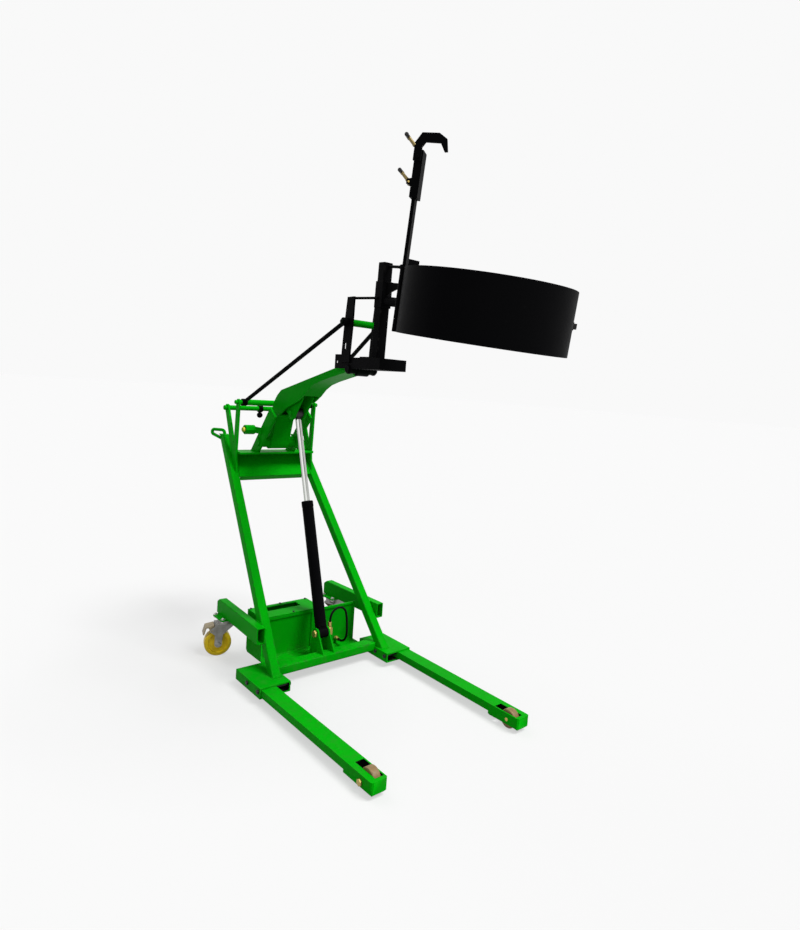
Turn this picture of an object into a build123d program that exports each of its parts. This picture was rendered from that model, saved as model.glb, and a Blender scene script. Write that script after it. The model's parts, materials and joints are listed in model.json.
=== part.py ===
from build123d import *
from math import atan, atan2, cos, degrees, radians, sin, tan
import os

# Millimetres. The floor is Z 0, the clamp end points along -Y, the right side is -X.

# Fits
running_fit = 0.05
slip_gap = 0.3
bolt_gap = 0.2

# Legs and front rollers
leg_x = 359.5
leg_width = 67.0
leg_height = 32.0
leg_top = 64.0
leg_wall = 4.0
leg_tail_y = 260.0
roller_y = -640.0
roller_radius = 38.0
roller_width = 32.0
roller_axle_radius = 8.0
roller_axle_head = 13.0
fork_back = 100.0
fork_height = 52.0
slot_back = 68.0
slot_front = 45.0
slot_width = 35.0
slot_cheek = 6.0
nose_reach = 62.0
nose_corner = 10.0

# Leg sockets and front beam
socket_inner = 258.0
socket_front = 60.0
socket_back = 285.0
socket_plate = 6.0
socket_skirt = 25.0
leg_bolt_radius = 6.0
leg_bolt_head = 10.0
leg_bolt_rise = 7.0
leg_bolt_ys = (76.0, 173.0)
leg_bolt_z = 53.0
set_bolt_ys = (76.0, 148.0)
set_bolt_z = 53.0
beam_front = 160.0
beam_back = 220.0
beam_bottom = 50.0
beam_top = 90.0
beam_wall = 5.0

# Leaning columns and the crossmember between them
column_size = 43.0
column_wall = 3.0
column_foot_x = 291.0
column_foot_y = 142.4
column_inward = 0.0867
column_back = 0.817
column_top = 1030.0
cross_bottom = 826.0
cross_plate = 8.0
cross_recess = 2.0
shelf_bottom = 950.0
shelf_thick = 10.0
shelf_front = 740.0
shelf_back = 828.0
shelf_tail = 858.0
shelf_half = 210.0
shelf_tail_half = 184.0

# Ears and the two cross shafts
ear_thick = 10.0
ear_arm = 32.0
ear_root_low = 995.0
ear_root_high = 1085.0
ear_edge = ((817.0, 975.0), (772.0, 985.0), (763.0, 900.0))
ear_tie_root = (784.0, 950.0)
ear_rear_root = (801.0, 957.0)
tie_y = 773.0
tie_z = 1209.0
rear_shaft_y = 897.0
rear_shaft_z = 1173.0
rear_shaft_radius = 12.5
shaft_overhang = 14.0
tie_pin_radius = 10.0
tie_spacer_radius = 15.0
tie_spacer_half = 172.0

# Push handles
handle_radius = 8.0
handle_top = 1054.0
handle_nose = 22.0
handle_low = 1002.0
handle_tip_x = 252.0
handle_tip_y = 986.0
handle_bend = 16.0
handle_nose_bend = 11.0
handle_cap = 4.0

# Rear arms and casters
arm_width = 38.0
arm_bottom = 186.0
arm_top = 258.0
arm_front = 218.0
arm_back = 676.0
arm_wall = 4.0
caster_y = 612.0
caster_angle = 72.0
caster_trail = 34.0
caster_plate_x = 88.0
caster_plate_y = 105.0
caster_plate_thick = 8.0
caster_wheel_radius = 62.5
caster_wheel_width = 50.0
caster_hub_radius = 24.0
caster_axle_radius = 6.0
kingpin_radius = 10.0
swivel_radius = 38.0
swivel_height = 21.7
crown_thick = 8.0
crown_front = 36.0
crown_back = 52.0
fork_eye = 17.0
fork_waist_front = 14.0
fork_waist_back = 50.0
fork_waist_z = 106.0
brake_lug = 10.0
fork_gap = 4.0
fork_plate = 5.0
brake_pivot_y = 62.0
brake_pivot_z = 128.0
brake_pin_radius = 4.0
pedal_outline = ((-9.0, 19.0), (27.0, 11.0), (36.0, -20.0), (42.0, -19.0), (32.0, 17.0), (-8.0, 25.0))
pedal_cheek = ((-9.0, -3.0), (6.0, -6.0), (20.0, 15.0), (-8.0, 22.0))

# Pump box with battery and power pack
box_half = 256.0
box_front = 340.0
box_back = 488.0
box_bottom = 45.0
box_top = 250.0
box_wall = 4.0
box_chamfer = 12.0
tray_thick = 6.0
lid_thick = 6.0
lid_rim = 10.0
panel_depth = 6.0
panel_frame = 12.0
stiffener_left = 5.0
stiffener_right = 17.0
lid_end = 60.0
low_wall = 120.0
slot_x_low = -222.0
slot_x_high = -15.0
slot_y_low = 414.0
slot_y_high = 468.0
pack_side_gap = 21.0
pack_front_gap = 13.0
battery_long = 190.0
battery_deep = 100.0
battery_high = 176.0
battery_corner = 6.0
post_radius = 9.0
post_rise = 12.0
post_inset = 25.0
post_setback = 22.0
tank_long = 138.0
tank_deep = 100.0
tank_high = 86.0
tank_corner = 8.0
motor_radius = 34.0
motor_long = 105.0
motor_setback = 30.0
motor_rise = 114.0
pump_plate = 30.0
pump_half = 28.0
pump_low = 80.0
pump_high = 140.0

# Lift geometry, side view
boom_pivot_y = 759.0
boom_pivot_z = 1013.0
head_pivot_y = 50.0
head_pivot_z = 1402.0
cylinder_foot_y = 240.0
cylinder_foot_z = 167.0
rod_eye_y = 568.0
rod_eye_z = 1176.0

# Boom and its cheeks
cheek_inner = 94.0
cheek_thick = 12.0
boom_half = 50.0
boom_plate = 8.0
boom_pin_radius = 15.0
boom_pin_head = 22.0
boom_pin_head_thick = 6.0
boom_bush_radius = 28.0
boom_leg_round = 36.0
boom_tip_round = 28.0
boom_tip_half = 30.0
boom_tip_boss = 20.0
lug_inner = 24.0
lug_thick = 8.0
lug_round = 35.0
stub_radius = 12.5
stub_gap = 0.3
boom_outline = (
    (654.0, 1283.0),
    (0.0, 1449.0),
    (0.0, 1408.0),
    (205.0, 1362.0),
    (290.0, 1342.0),
    (350.0, 1324.0),
    (395.0, 1300.0),
    (435.0, 1268.0),
    (480.0, 1240.0),
    (600.0, 1195.0),
    (688.0, 1139.0),
    (725.0, 1005.0),
    (794.0, 1020.0),
    (734.0, 1192.0),
    (718.0, 1224.0),
    (692.0, 1254.0),
)
mouth_outline = (
    (440.0, 1225.0),
    (440.0, 1284.0),
    (670.0, 1240.0),
    (672.0, 1130.0),
    (600.0, 1130.0),
)
lug_outline = (
    (470.0, 1256.0),
    (536.0, 1166.0),
    (600.0, 1166.0),
    (655.0, 1196.0),
    (648.0, 1278.0),
    (480.0, 1320.0),
)
cheek_outline = ((838.0, 960.0), (758.0, 960.0), (598.0, 1151.0), (653.0, 1192.0))

# Hydraulic cylinder
barrel_radius = 27.0
barrel_bore = 20.0
barrel_start = 29.0
barrel_end = 590.0
barrel_cap = 22.0
gland_radius = 28.0
gland_length = 32.0
gland_depth = 14.0
rod_radius = 14.0
rod_tail = 330.0
piston_length = 30.0
eye_radius = 25.0
eye_half = 20.0
foot_pin_radius = 12.5
foot_pin_head = 18.0
foot_lug_inner = 25.0
foot_lug_thick = 8.0
foot_lug_round = 26.0

# Hose and its fittings
hose_radius = 5.4
fitting_radius = 9.0
port_block = (53.0, 26.0, 34.0)
hose_points = (
    (43.0, 240.0, 188.0),
    (43.0, 240.0, 233.0),
    (75.0, 241.0, 265.0),
    (120.0, 243.0, 265.0),
    (152.0, 245.0, 233.0),
    (154.0, 248.0, 107.0),
    (152.0, 281.0, 75.0),
    (152.0, 342.0, 75.0),
)
hose_tightness = 0.45

# Controls
control_y = 800.0
control_z = 1070.0
control_radius = 24.0
control_long = 52.0
control_plate = 6.0
control_root_y = 722.0
button_radius = 12.0
button_depth = 14.0
button_travel = 5.0
button_proud = 12.0
lever_x = -35.0
lever_half = 10.0
lever_hub_radius = 20.0
lever_drop = 34.0
lever_knob_radius = 15.0

# Clamp head carrier
bracket_inner = 60.5
bracket_plate = 8.0
bracket_front = -170.0
bracket_back = 154.0
bracket_bottom = 1403.0
bracket_top = 1450.0
bracket_rear_top = 1463.0
bracket_step_y = 40.0
bracket_web_back = -24.0
bracket_boss = 22.0
head_pin_radius = 12.0
head_pin_head = 17.0
head_pin_head_thick = 7.0
bracket_hole_y = 140.0
bracket_hole_z = 1430.0
bracket_hole_radius = 8.0
head_column_size = 44.0
head_column_wall = 3.0
head_column_foot = (0.0, -63.5, 1450.0)
head_column_head = (0.0, -79.0, 1844.0)
upright_outline = (
    (36.0, 1428.0),
    (96.0, 1428.0),
    (95.0, 1476.0),
    (87.0, 1588.0),
    (73.0, 1704.0),
    (24.0, 1704.0),
    (27.0, 1588.0),
    (36.0, 1476.0),
)
upright_slot_y = 73.0
upright_slot_z = 1498.0
upright_slot_long = 32.0
upright_slot_wide = 16.0
stay_radius = 5.5
stay_y = 60.0
stay_z = 1698.5
link_pin_radius = 10.0
link_spacer_radius = 15.0
tie_rod_radius = 9.5
tie_eye_radius = 18.0
tie_rear_x = 187.0
tie_eye_half = 11.0

# Clamp ring, tilted with its top forward
ring_y = -669.0
ring_z = 1617.0
ring_tilt = 7.0
drum_radius = 290.5
liner_thick = 4.0
band_thick = 6.0
band_half = 110.0
hinge_azimuth = 142.0
end_gap = 0.15
hinge_standoff = 5.0
knuckle_radius = 8.5
knuckle_relief = 9.2
hinge_pin_radius = 4.5
knuckle_edges = (22.0, 66.0)
knuckle_gap = 0.5
housing_radius = 19.0
housing_front = 470.0
housing_low = 1660.0
housing_high = 1768.0
housing_root = 1690.0
housing_wall = 3.0
housing_fit = 0.1
gusset_half = 5.0
gusset_low = 24.0
gusset_tip = 68.0
gusset_high = 76.0
gusset_root = 590.0
hub_shaft_radius = 12.0
hub_shaft_end = 564.0
index_low = -90.0
index_high = 170.0
index_half = 30.0
index_front = 434.0
index_back = 446.0
standoff_inner = 22.0
standoff_half = 60.0
lock_pin_z = 140.0
lock_pin_radius = 6.0
lock_pin_back = 636.0
lock_knob_y = 505.0
lock_knob_radius = 11.0

# Latch beside the gate's free end, in a frame with U along the band and V outward
latch_azimuth = 336.0
latch_pivot = (0.0, 13.0)
latch_hook_pivot = (10.0, 14.0)
latch_pin_radius = 3.5
hook_pin_radius = 3.0
hook_half = 10.0
lever_plate_low = 10.5
lever_plate_high = 14.5
latch_lug_low = 15.0
latch_lug_high = 20.0
keeper_half = 14.0
keeper_near = -86.0
keeper_far = -93.0
keeper_top = -5.5

# Rim clamp beside the hinge: R out from the band's outside, heights from the carriage's ends
rim_azimuth = 129.0
post_half = 20.0
post_thick = 12.0
post_low = -70.0
post_high = 505.0
carriage_low = 345.0
carriage_high = 500.0
carriage_wall = 8.5
carriage_fit = 0.15
beak_side = 30.0
beak_thick = 10.0
beak_pin_out = 8.5
beak_pin_drop = 26.0
beak_pin_radius = 6.0
beak_outline = (
    (22.5, -38.0),
    (22.5, 18.0),
    (1.5, 52.0),
    (-56.5, 56.0),
    (-84.5, 40.0),
    (-92.5, 0.0),
    (-81.5, -2.0),
    (-64.5, 25.0),
    (-14.5, 23.0),
    (-3.5, 6.0),
    (-4.5, -38.0),
)
beak_lever_out = 16.5
beak_lever_rise = 4.0
rim_lever_reach = (34.0, 32.0)
rim_lever_radius = 5.0
rim_lever_bar = 24.0
rim_lock_out = 32.5
rim_lock_rise = 53.0
rim_lock_pin = 4.0
rim_lock_boss = 9.0
rim_lock_half = 7.7
rim_lug_thick = 5.0

# Worked-out places
socket_outer = leg_x + leg_width / 2 + bolt_gap + socket_plate
socket_top = leg_top + socket_plate
lean = degrees(atan(column_back))
lean_plane = Plane(
    origin=(0, column_foot_y, socket_top),
    x_dir=(1, 0, 0),
    z_dir=(0, -cos(radians(lean)), sin(radians(lean))),
)
column_taper = column_inward * cos(radians(lean))
column_reach = column_size / 2 / cos(atan(column_taper))
ear_inner = shelf_half
ear_outer = ear_inner + ear_thick
link_y = head_pivot_y + tie_y - boom_pivot_y
link_z = head_pivot_z + tie_z - boom_pivot_z
foot_point = Vector(0, cylinder_foot_y, cylinder_foot_z)
eye_point = Vector(0, rod_eye_y, rod_eye_z)
stroke_axis = (eye_point - foot_point).normalized()
eye_distance = (eye_point - foot_point).length
band_inner = drum_radius + liner_thick
band_outer = band_inner + band_thick
ring_plane = Plane(
    origin=(0, ring_y, ring_z),
    x_dir=(1, 0, 0),
    z_dir=(0, -sin(radians(ring_tilt)), cos(radians(ring_tilt))),
)


def keep(piece, name):
    """Labels a finished piece and writes its file."""
    piece.part.label = name
    export_step(piece.part, "parts/" + name + ".step")


def block(low, high, frame=Plane.XY, mode=Mode.ADD):
    """A box between two opposite corners of a frame."""
    middle = [(a + b) / 2 for a, b in zip(low, high)]
    size = [abs(b - a) for a, b in zip(low, high)]
    with Locations(frame.location * Location(tuple(middle))):
        Box(size[0], size[1], size[2], mode=mode)


def rod(start, end, radius, mode=Mode.ADD):
    """A round bar between two points."""
    along = Vector(end) - Vector(start)
    with Locations(Plane(origin=start, z_dir=along)):
        Cylinder(radius, along.length, align=(Align.CENTER, Align.CENTER, Align.MIN), mode=mode)


def square_plane(start, end):
    """A plane across a bar, its X as near as can be to the frame's X."""
    along = (Vector(end) - Vector(start)).normalized()
    sideways = Vector(1, 0, 0) - along * along.X
    return Plane(origin=start, x_dir=sideways, z_dir=along)


def bar(start, end, width, depth, mode=Mode.ADD):
    """A rectangular bar between two points."""
    length = (Vector(end) - Vector(start)).length
    with Locations(square_plane(start, end)):
        Box(width, depth, length, align=(Align.CENTER, Align.CENTER, Align.MIN), mode=mode)


def plate(outline, low, high, frame=Plane.YZ, mode=Mode.ADD):
    """A flat plate of a given outline between two offsets of a plane."""
    with BuildSketch(frame.offset(low)) as face:
        Polygon(*outline, align=None)
    extrude(face.sketch, amount=high - low, mode=mode)


def hex_head(centre, direction, radius, thick):
    """A hexagon bolt head."""
    with BuildSketch(Plane(origin=centre, z_dir=direction)) as face:
        RegularPolygon(radius, 6)
    extrude(face.sketch, amount=thick)


def column_point(side, z):
    """The middle of a column at a height."""
    rise = z - socket_top
    return (side * (column_foot_x - column_inward * rise), column_foot_y + column_back * rise, z)


def lean_point(run, out):
    """Y and Z of a place along the columns' lean and out of their front."""
    spot = lean_plane.from_local_coords(Vector(0, run, out))
    return (spot.Y, spot.Z)


def ring_at(x, y, z):
    """A place given in the clamp ring's frame."""
    return ring_plane.from_local_coords(Vector(x, y, z))


def polar(radius, azimuth):
    """A place in the ring's plane."""
    return (radius * cos(radians(azimuth)), radius * sin(radians(azimuth)))


def radial_plane(azimuth):
    """X outward from the ring's middle at an azimuth, Y along the ring's axis."""
    outward = ring_plane.x_dir * cos(radians(azimuth)) + ring_plane.y_dir * sin(radians(azimuth))
    return Plane(origin=ring_plane.origin, x_dir=outward, z_dir=outward.cross(ring_plane.z_dir))


def sector(inner, outer, start, span, low, high, mode=Mode.ADD):
    """Part of a ring between two azimuths and two heights."""
    with BuildSketch(ring_plane.offset(low)) as face:
        with BuildLine():
            CenterArc((0, 0), outer, start, span)
            CenterArc((0, 0), inner, start, span)
            Line(polar(inner, start), polar(outer, start))
            Line(polar(inner, start + span), polar(outer, start + span))
        make_face()
    extrude(face.sketch, amount=high - low, mode=mode)


def strut(start, end, width):
    """A round-ended strap between two places of a sketch."""
    run = (end[0] - start[0], end[1] - start[1])
    length = (run[0] ** 2 + run[1] ** 2) ** 0.5
    with Locations(((start[0] + end[0]) / 2, (start[1] + end[1]) / 2)):
        SlotCenterToCenter(length, width, rotation=degrees(atan2(run[1], run[0])))


os.makedirs("parts", exist_ok=True)

beam_run = (beam_back - column_foot_y) * sin(radians(lean)) + (beam_top - socket_top) * cos(radians(lean))
beam_end = column_foot_x - column_taper * beam_run - column_reach - running_fit

# Front beam, closed at the columns' feet
with BuildPart() as front_beam:
    block((-socket_inner, beam_front, beam_bottom), (socket_inner, beam_back, beam_top))
    block(
        (-socket_inner, beam_front + beam_wall, beam_bottom + beam_wall),
        (socket_inner, beam_back - beam_wall, beam_top - beam_wall),
        mode=Mode.SUBTRACT,
    )
    for side in (-1, 1):
        block((side * socket_inner, beam_front, socket_top), (side * beam_end, beam_back, beam_top))
keep(front_beam, "front_beam")

leg_inner = leg_x - leg_width / 2
leg_outer = leg_x + leg_width / 2
leg_bottom = leg_top - leg_height
fork_bottom = leg_top - fork_height
fork_nose = roller_y - nose_reach
fork_end = roller_y + fork_back
roller_slot_low = leg_inner + slot_cheek
roller_slot_high = roller_slot_low + slot_width
roller_x = (roller_slot_low + roller_slot_high) / 2

# Legs, their sockets and the rollers
for side, name in ((-1, "right"), (1, "left")):
    with BuildPart() as leg:
        block((side * leg_inner, fork_end, leg_bottom), (side * leg_outer, leg_tail_y, leg_top))
        block(
            (side * (leg_inner + leg_wall), fork_end, leg_bottom + leg_wall),
            (side * (leg_outer - leg_wall), leg_tail_y, leg_top - leg_wall),
            mode=Mode.SUBTRACT,
        )
        block((side * leg_inner, fork_nose, fork_bottom), (side * leg_outer, fork_end, leg_top))
        nose = leg.edges().filter_by(lambda e: abs(e.center().Y - fork_nose) < 0.1)
        fillet(nose.filter_by(Axis.Z), nose_corner)
        toe = leg.edges().filter_by(lambda e: e.center().Y < fork_nose + nose_corner)
        low_toe = toe.filter_by(lambda e: abs(e.center().Z - fork_bottom) < 0.1)
        chamfer(low_toe.filter_by(Axis.X), nose_corner - 1.0)
        block(
            (side * roller_slot_low, roller_y - slot_front, 0),
            (side * roller_slot_high, roller_y + slot_back, leg_top + 1),
            mode=Mode.SUBTRACT,
        )
        rod(
            (side * (leg_inner - 1), roller_y, roller_radius),
            (side * (leg_outer + 1), roller_y, roller_radius),
            roller_axle_radius + running_fit,
            mode=Mode.SUBTRACT,
        )
        for bolt_y in leg_bolt_ys:
            rod(
                (side * (leg_outer - leg_wall - 1), bolt_y, leg_bolt_z),
                (side * (leg_outer + 1), bolt_y, leg_bolt_z),
                leg_bolt_radius + bolt_gap,
                mode=Mode.SUBTRACT,
            )
    keep(leg, name + "_leg")

    with BuildPart() as leg_socket:
        block((side * socket_inner, socket_front, leg_top), (side * socket_outer, socket_back, socket_top))
        block(
            (side * (socket_outer - socket_plate), socket_front, socket_skirt),
            (side * socket_outer, socket_back, leg_top),
        )
        block(
            (side * socket_inner, socket_front, socket_skirt),
            (side * (socket_inner + socket_plate), socket_back, leg_top),
        )
        block(
            (side * socket_inner, socket_front, socket_skirt),
            (side * socket_outer, socket_back, socket_skirt + socket_plate),
        )
        block(
            (side * socket_inner, socket_back - socket_plate, socket_skirt),
            (side * socket_outer, socket_back, leg_top),
        )
        for bolt_y in leg_bolt_ys:
            rod(
                (side * (socket_outer - socket_plate - 1), bolt_y, leg_bolt_z),
                (side * (socket_outer + 1), bolt_y, leg_bolt_z),
                leg_bolt_radius + bolt_gap,
                mode=Mode.SUBTRACT,
            )
        for bolt_y in set_bolt_ys:
            rod(
                (side * (socket_inner - 1), bolt_y, set_bolt_z),
                (side * (socket_inner + socket_plate + 1), bolt_y, set_bolt_z),
                leg_bolt_radius + bolt_gap,
                mode=Mode.SUBTRACT,
            )
    keep(leg_socket, name + "_leg_socket")

    with BuildPart() as roller:
        rod(
            (side * roller_x - roller_width / 2, roller_y, roller_radius),
            (side * roller_x + roller_width / 2, roller_y, roller_radius),
            roller_radius,
        )
        chamfer(roller.edges().filter_by(GeomType.CIRCLE), 2.5)
        rod(
            (side * roller_x - roller_width, roller_y, roller_radius),
            (side * roller_x + roller_width, roller_y, roller_radius),
            roller_axle_radius + running_fit,
            mode=Mode.SUBTRACT,
        )
    keep(roller, name + "_roller")

foot_pin_end = foot_lug_inner + foot_lug_thick

# Leg bolts, set bolts, roller axles and the cylinder's foot pin
with BuildPart() as chassis_bolts:
    for side in (-1, 1):
        rod(
            (side * leg_inner, roller_y, roller_radius),
            (side * leg_outer, roller_y, roller_radius),
            roller_axle_radius,
        )
        hex_head((side * leg_outer, roller_y, roller_radius), (side, 0, 0), roller_axle_head, 8.0)
        for bolt_y in leg_bolt_ys:
            rod(
                (side * (leg_outer - leg_wall - 8), bolt_y, leg_bolt_z),
                (side * socket_outer, bolt_y, leg_bolt_z),
                leg_bolt_radius,
            )
            hex_head((side * socket_outer, bolt_y, leg_bolt_z), (side, 0, 0), leg_bolt_head, leg_bolt_rise)
        for bolt_y in set_bolt_ys:
            rod(
                (side * (leg_inner - bolt_gap), bolt_y, set_bolt_z),
                (side * socket_inner, bolt_y, set_bolt_z),
                leg_bolt_radius,
            )
            hex_head((side * socket_inner, bolt_y, set_bolt_z), (-side, 0, 0), leg_bolt_head, leg_bolt_rise)
    rod(
        (-foot_pin_end, cylinder_foot_y, cylinder_foot_z),
        (foot_pin_end, cylinder_foot_y, cylinder_foot_z),
        foot_pin_radius,
    )
    hex_head((-foot_pin_end, cylinder_foot_y, cylinder_foot_z), (-1, 0, 0), foot_pin_head, 11.0)
keep(chassis_bolts, "chassis_bolts")

arm_slope = column_taper * sin(radians(lean))
arm_toe = atan(arm_slope)
arm_run = (arm_front - column_foot_y) * sin(radians(lean)) + (arm_bottom - socket_top) * cos(radians(lean))
arm_root = column_foot_x - column_taper * arm_run + column_reach + running_fit
arm_long = (arm_back - arm_front) / cos(arm_toe)
arm_x = arm_root - (caster_y - arm_front) * arm_slope + arm_width / 2 / cos(arm_toe)
caster_top = arm_bottom - caster_plate_thick
crown_top = caster_top - slip_gap - swivel_height
crown_bottom = crown_top - crown_thick
fork_inner = caster_wheel_width / 2 + fork_gap
fork_outer = fork_inner + fork_plate

# Columns, rear arms and casters
for side, name in ((-1, "right"), (1, "left")):
    with BuildPart() as column:
        column_ends = (column_point(side, socket_top - 60), column_point(side, column_top + 60))
        bar(*column_ends, column_size, column_size)
        bar(
            *column_ends,
            column_size - 2 * column_wall,
            column_size - 2 * column_wall,
            mode=Mode.SUBTRACT,
        )
        split(bisect_by=Plane.XY.offset(socket_top), keep=Keep.TOP)
        split(bisect_by=Plane.XY.offset(column_top), keep=Keep.BOTTOM)
    keep(column, name + "_column")

    arm_outline = (
        (0, arm_bottom),
        (arm_long, arm_bottom),
        (arm_long, arm_top - 16),
        (arm_long - 22, arm_top),
        (0, arm_top),
    )
    hollow_outline = (
        (-1, arm_bottom + arm_wall),
        (arm_long - arm_wall, arm_bottom + arm_wall),
        (arm_long - arm_wall, arm_top - 18),
        (arm_long - 24, arm_top - arm_wall),
        (-1, arm_top - arm_wall),
    )
    arm_frame = Plane(
        origin=(side * arm_root, arm_front, 0),
        x_dir=(-side * sin(arm_toe), cos(arm_toe), 0),
        z_dir=(cos(arm_toe), side * sin(arm_toe), 0),
    )
    arm_near = min(0, side * arm_width)
    with BuildPart() as rear_arm:
        plate(arm_outline, arm_near, arm_near + arm_width, arm_frame)
        plate(
            hollow_outline,
            arm_near + arm_wall,
            arm_near + arm_width - arm_wall,
            arm_frame,
            mode=Mode.SUBTRACT,
        )
    keep(rear_arm, name + "_rear_arm")

    turn = radians(-side * caster_angle)
    caster = Plane(
        origin=(side * arm_x, caster_y, 0),
        x_dir=(cos(turn), sin(turn), 0),
        z_dir=(0, 0, 1),
    )
    rolling = Plane(origin=caster.origin, x_dir=caster.y_dir, z_dir=caster.x_dir)

    with BuildPart() as caster_fork:
        hub = caster.from_local_coords(Vector(0, 0, crown_top))
        rod(hub, hub + Vector(0, 0, swivel_height), swivel_radius)
        rod(hub, hub + Vector(0, 0, swivel_height + caster_plate_thick), kingpin_radius)
        with BuildSketch(caster.offset(crown_bottom)):
            with Locations((0, (crown_back - crown_front) / 2)):
                RectangleRounded(2 * fork_outer, crown_back + crown_front, crown_thick)
        extrude(amount=crown_thick)
        for end in (-1, 1):
            low = min(end * fork_inner, end * fork_outer)
            with BuildSketch(rolling.offset(low)):
                Polygon(
                    (2 - crown_front, crown_bottom),
                    (crown_back - 2, crown_bottom),
                    (brake_pivot_y + brake_lug, brake_pivot_z + 6),
                    (brake_pivot_y + brake_lug, brake_pivot_z - 6),
                    (fork_waist_back, fork_waist_z),
                    (caster_trail + fork_eye, caster_wheel_radius),
                    (caster_trail - fork_eye, caster_wheel_radius),
                    (fork_waist_front, fork_waist_z),
                    align=None,
                )
                with Locations((caster_trail, caster_wheel_radius)):
                    Circle(fork_eye)
            extrude(amount=fork_plate)
            brake_end = caster.from_local_coords(Vector(end * fork_inner, brake_pivot_y, brake_pivot_z))
            brake_out = caster.from_local_coords(Vector(end * fork_outer, brake_pivot_y, brake_pivot_z))
            rod(brake_end, brake_out, brake_pin_radius + running_fit, mode=Mode.SUBTRACT)
        axle_a = caster.from_local_coords(Vector(-fork_outer - 6, caster_trail, caster_wheel_radius))
        axle_b = caster.from_local_coords(Vector(fork_outer + 6, caster_trail, caster_wheel_radius))
        rod(axle_a, axle_b, caster_axle_radius)
        for end in (-1, 1):
            seat = caster.from_local_coords(Vector(end * fork_outer, caster_trail, caster_wheel_radius))
            hex_head(seat, caster.x_dir * end, 10, 5)
    keep(caster_fork, name + "_caster_fork")

    wheel_a = caster.from_local_coords(Vector(-caster_wheel_width / 2, caster_trail, caster_wheel_radius))
    wheel_b = caster.from_local_coords(Vector(caster_wheel_width / 2, caster_trail, caster_wheel_radius))
    hub_a = wheel_a - caster.x_dir * (fork_gap - 1)
    hub_b = wheel_b + caster.x_dir * (fork_gap - 1)
    with BuildPart() as caster_wheel:
        rod(wheel_a, wheel_b, caster_wheel_radius)
        chamfer(caster_wheel.edges().filter_by(GeomType.CIRCLE), 6)
        for spot, way in ((wheel_a, 1), (wheel_b, -1)):
            rod(spot, spot + caster.x_dir * (way * 7), caster_wheel_radius - 20, mode=Mode.SUBTRACT)
        rod(hub_a, hub_b, caster_hub_radius - 6)
        rod(hub_a, hub_b, caster_axle_radius + running_fit, mode=Mode.SUBTRACT)
    keep(caster_wheel, name + "_caster_wheel")

    pedal_shape = [(brake_pivot_y + along, brake_pivot_z + rise) for along, rise in pedal_outline]
    cheek_shape = [(brake_pivot_y + along, brake_pivot_z + rise) for along, rise in pedal_cheek]
    with BuildPart() as caster_brake:
        plate(pedal_shape, -fork_inner + 1, fork_inner - 1, rolling)
        for end in (-1, 1):
            low = min(end * (fork_inner - 1), end * (fork_inner - 3))
            plate(cheek_shape, low, low + 2, rolling)
            pin_a = caster.from_local_coords(Vector(end * (fork_inner - 3), brake_pivot_y, brake_pivot_z))
            pin_b = caster.from_local_coords(Vector(end * fork_outer, brake_pivot_y, brake_pivot_z))
            rod(pin_a, pin_b, brake_pin_radius)
    keep(caster_brake, name + "_caster_brake")

# Caster plates under the rear arms
with BuildPart() as caster_plates:
    for side in (-1, 1):
        with BuildSketch(Plane.XY.offset(caster_top)):
            with Locations((side * arm_x, caster_y)):
                RectangleRounded(caster_plate_x, caster_plate_y, 10)
                Circle(kingpin_radius + running_fit, mode=Mode.SUBTRACT)
        extrude(amount=caster_plate_thick)
keep(caster_plates, "caster_plates")

cross_low = (cross_bottom - socket_top) / cos(radians(lean))
cross_high = (shelf_bottom + shelf_thick / 2 - socket_top) / cos(radians(lean))
web_front = column_size / 2 - cross_recess
cross_low_half = column_foot_x - column_taper * cross_low - column_reach - running_fit
cross_high_half = column_foot_x - column_taper * cross_high - column_reach - running_fit

# Crossmember with the shelf that carries the boom
with BuildPart() as top_crossmember:
    with BuildSketch(lean_plane.offset(web_front - cross_plate)):
        Polygon(
            (-cross_low_half, cross_low),
            (cross_low_half, cross_low),
            (cross_high_half, cross_high - 12),
            (-cross_high_half, cross_high - 12),
            align=None,
        )
    extrude(amount=cross_plate)
    block(
        (-cross_high_half, cross_low, -web_front),
        (cross_high_half, cross_low + cross_plate, web_front - cross_plate),
        lean_plane,
    )
    block((-shelf_half, shelf_front, shelf_bottom), (shelf_half, shelf_back, shelf_bottom + shelf_thick))
    block(
        (-shelf_tail_half, shelf_back, shelf_bottom),
        (shelf_tail_half, shelf_tail, shelf_bottom + shelf_thick),
    )
keep(top_crossmember, "top_crossmember")

# Ears that carry the two cross shafts
for side, name in ((-1, "right"), (1, "left")):
    low_root = lean_point(ear_root_low, column_size / 2)
    high_root = lean_point(ear_root_high, column_size / 2)
    with BuildPart() as ear:
        with BuildSketch(Plane.YZ.offset(min(side * ear_inner, side * ear_outer))):
            Polygon(low_root, high_root, *ear_edge, align=None)
            strut(ear_tie_root, (tie_y, tie_z), ear_arm)
            strut(ear_rear_root, (rear_shaft_y, rear_shaft_z), ear_arm + 6)
            with Locations((tie_y, tie_z)):
                Circle(tie_pin_radius + running_fit, mode=Mode.SUBTRACT)
            with Locations((rear_shaft_y, rear_shaft_z)):
                Circle(rear_shaft_radius + running_fit, mode=Mode.SUBTRACT)
        extrude(amount=ear_thick)
    keep(ear, name + "_ear")

# Cross shafts
shaft_end = ear_outer + shaft_overhang
with BuildPart() as rear_shaft:
    rod((-shaft_end, rear_shaft_y, rear_shaft_z), (shaft_end, rear_shaft_y, rear_shaft_z), rear_shaft_radius)
    chamfer(rear_shaft.edges().filter_by(GeomType.CIRCLE), 2)
keep(rear_shaft, "rear_shaft")

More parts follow.
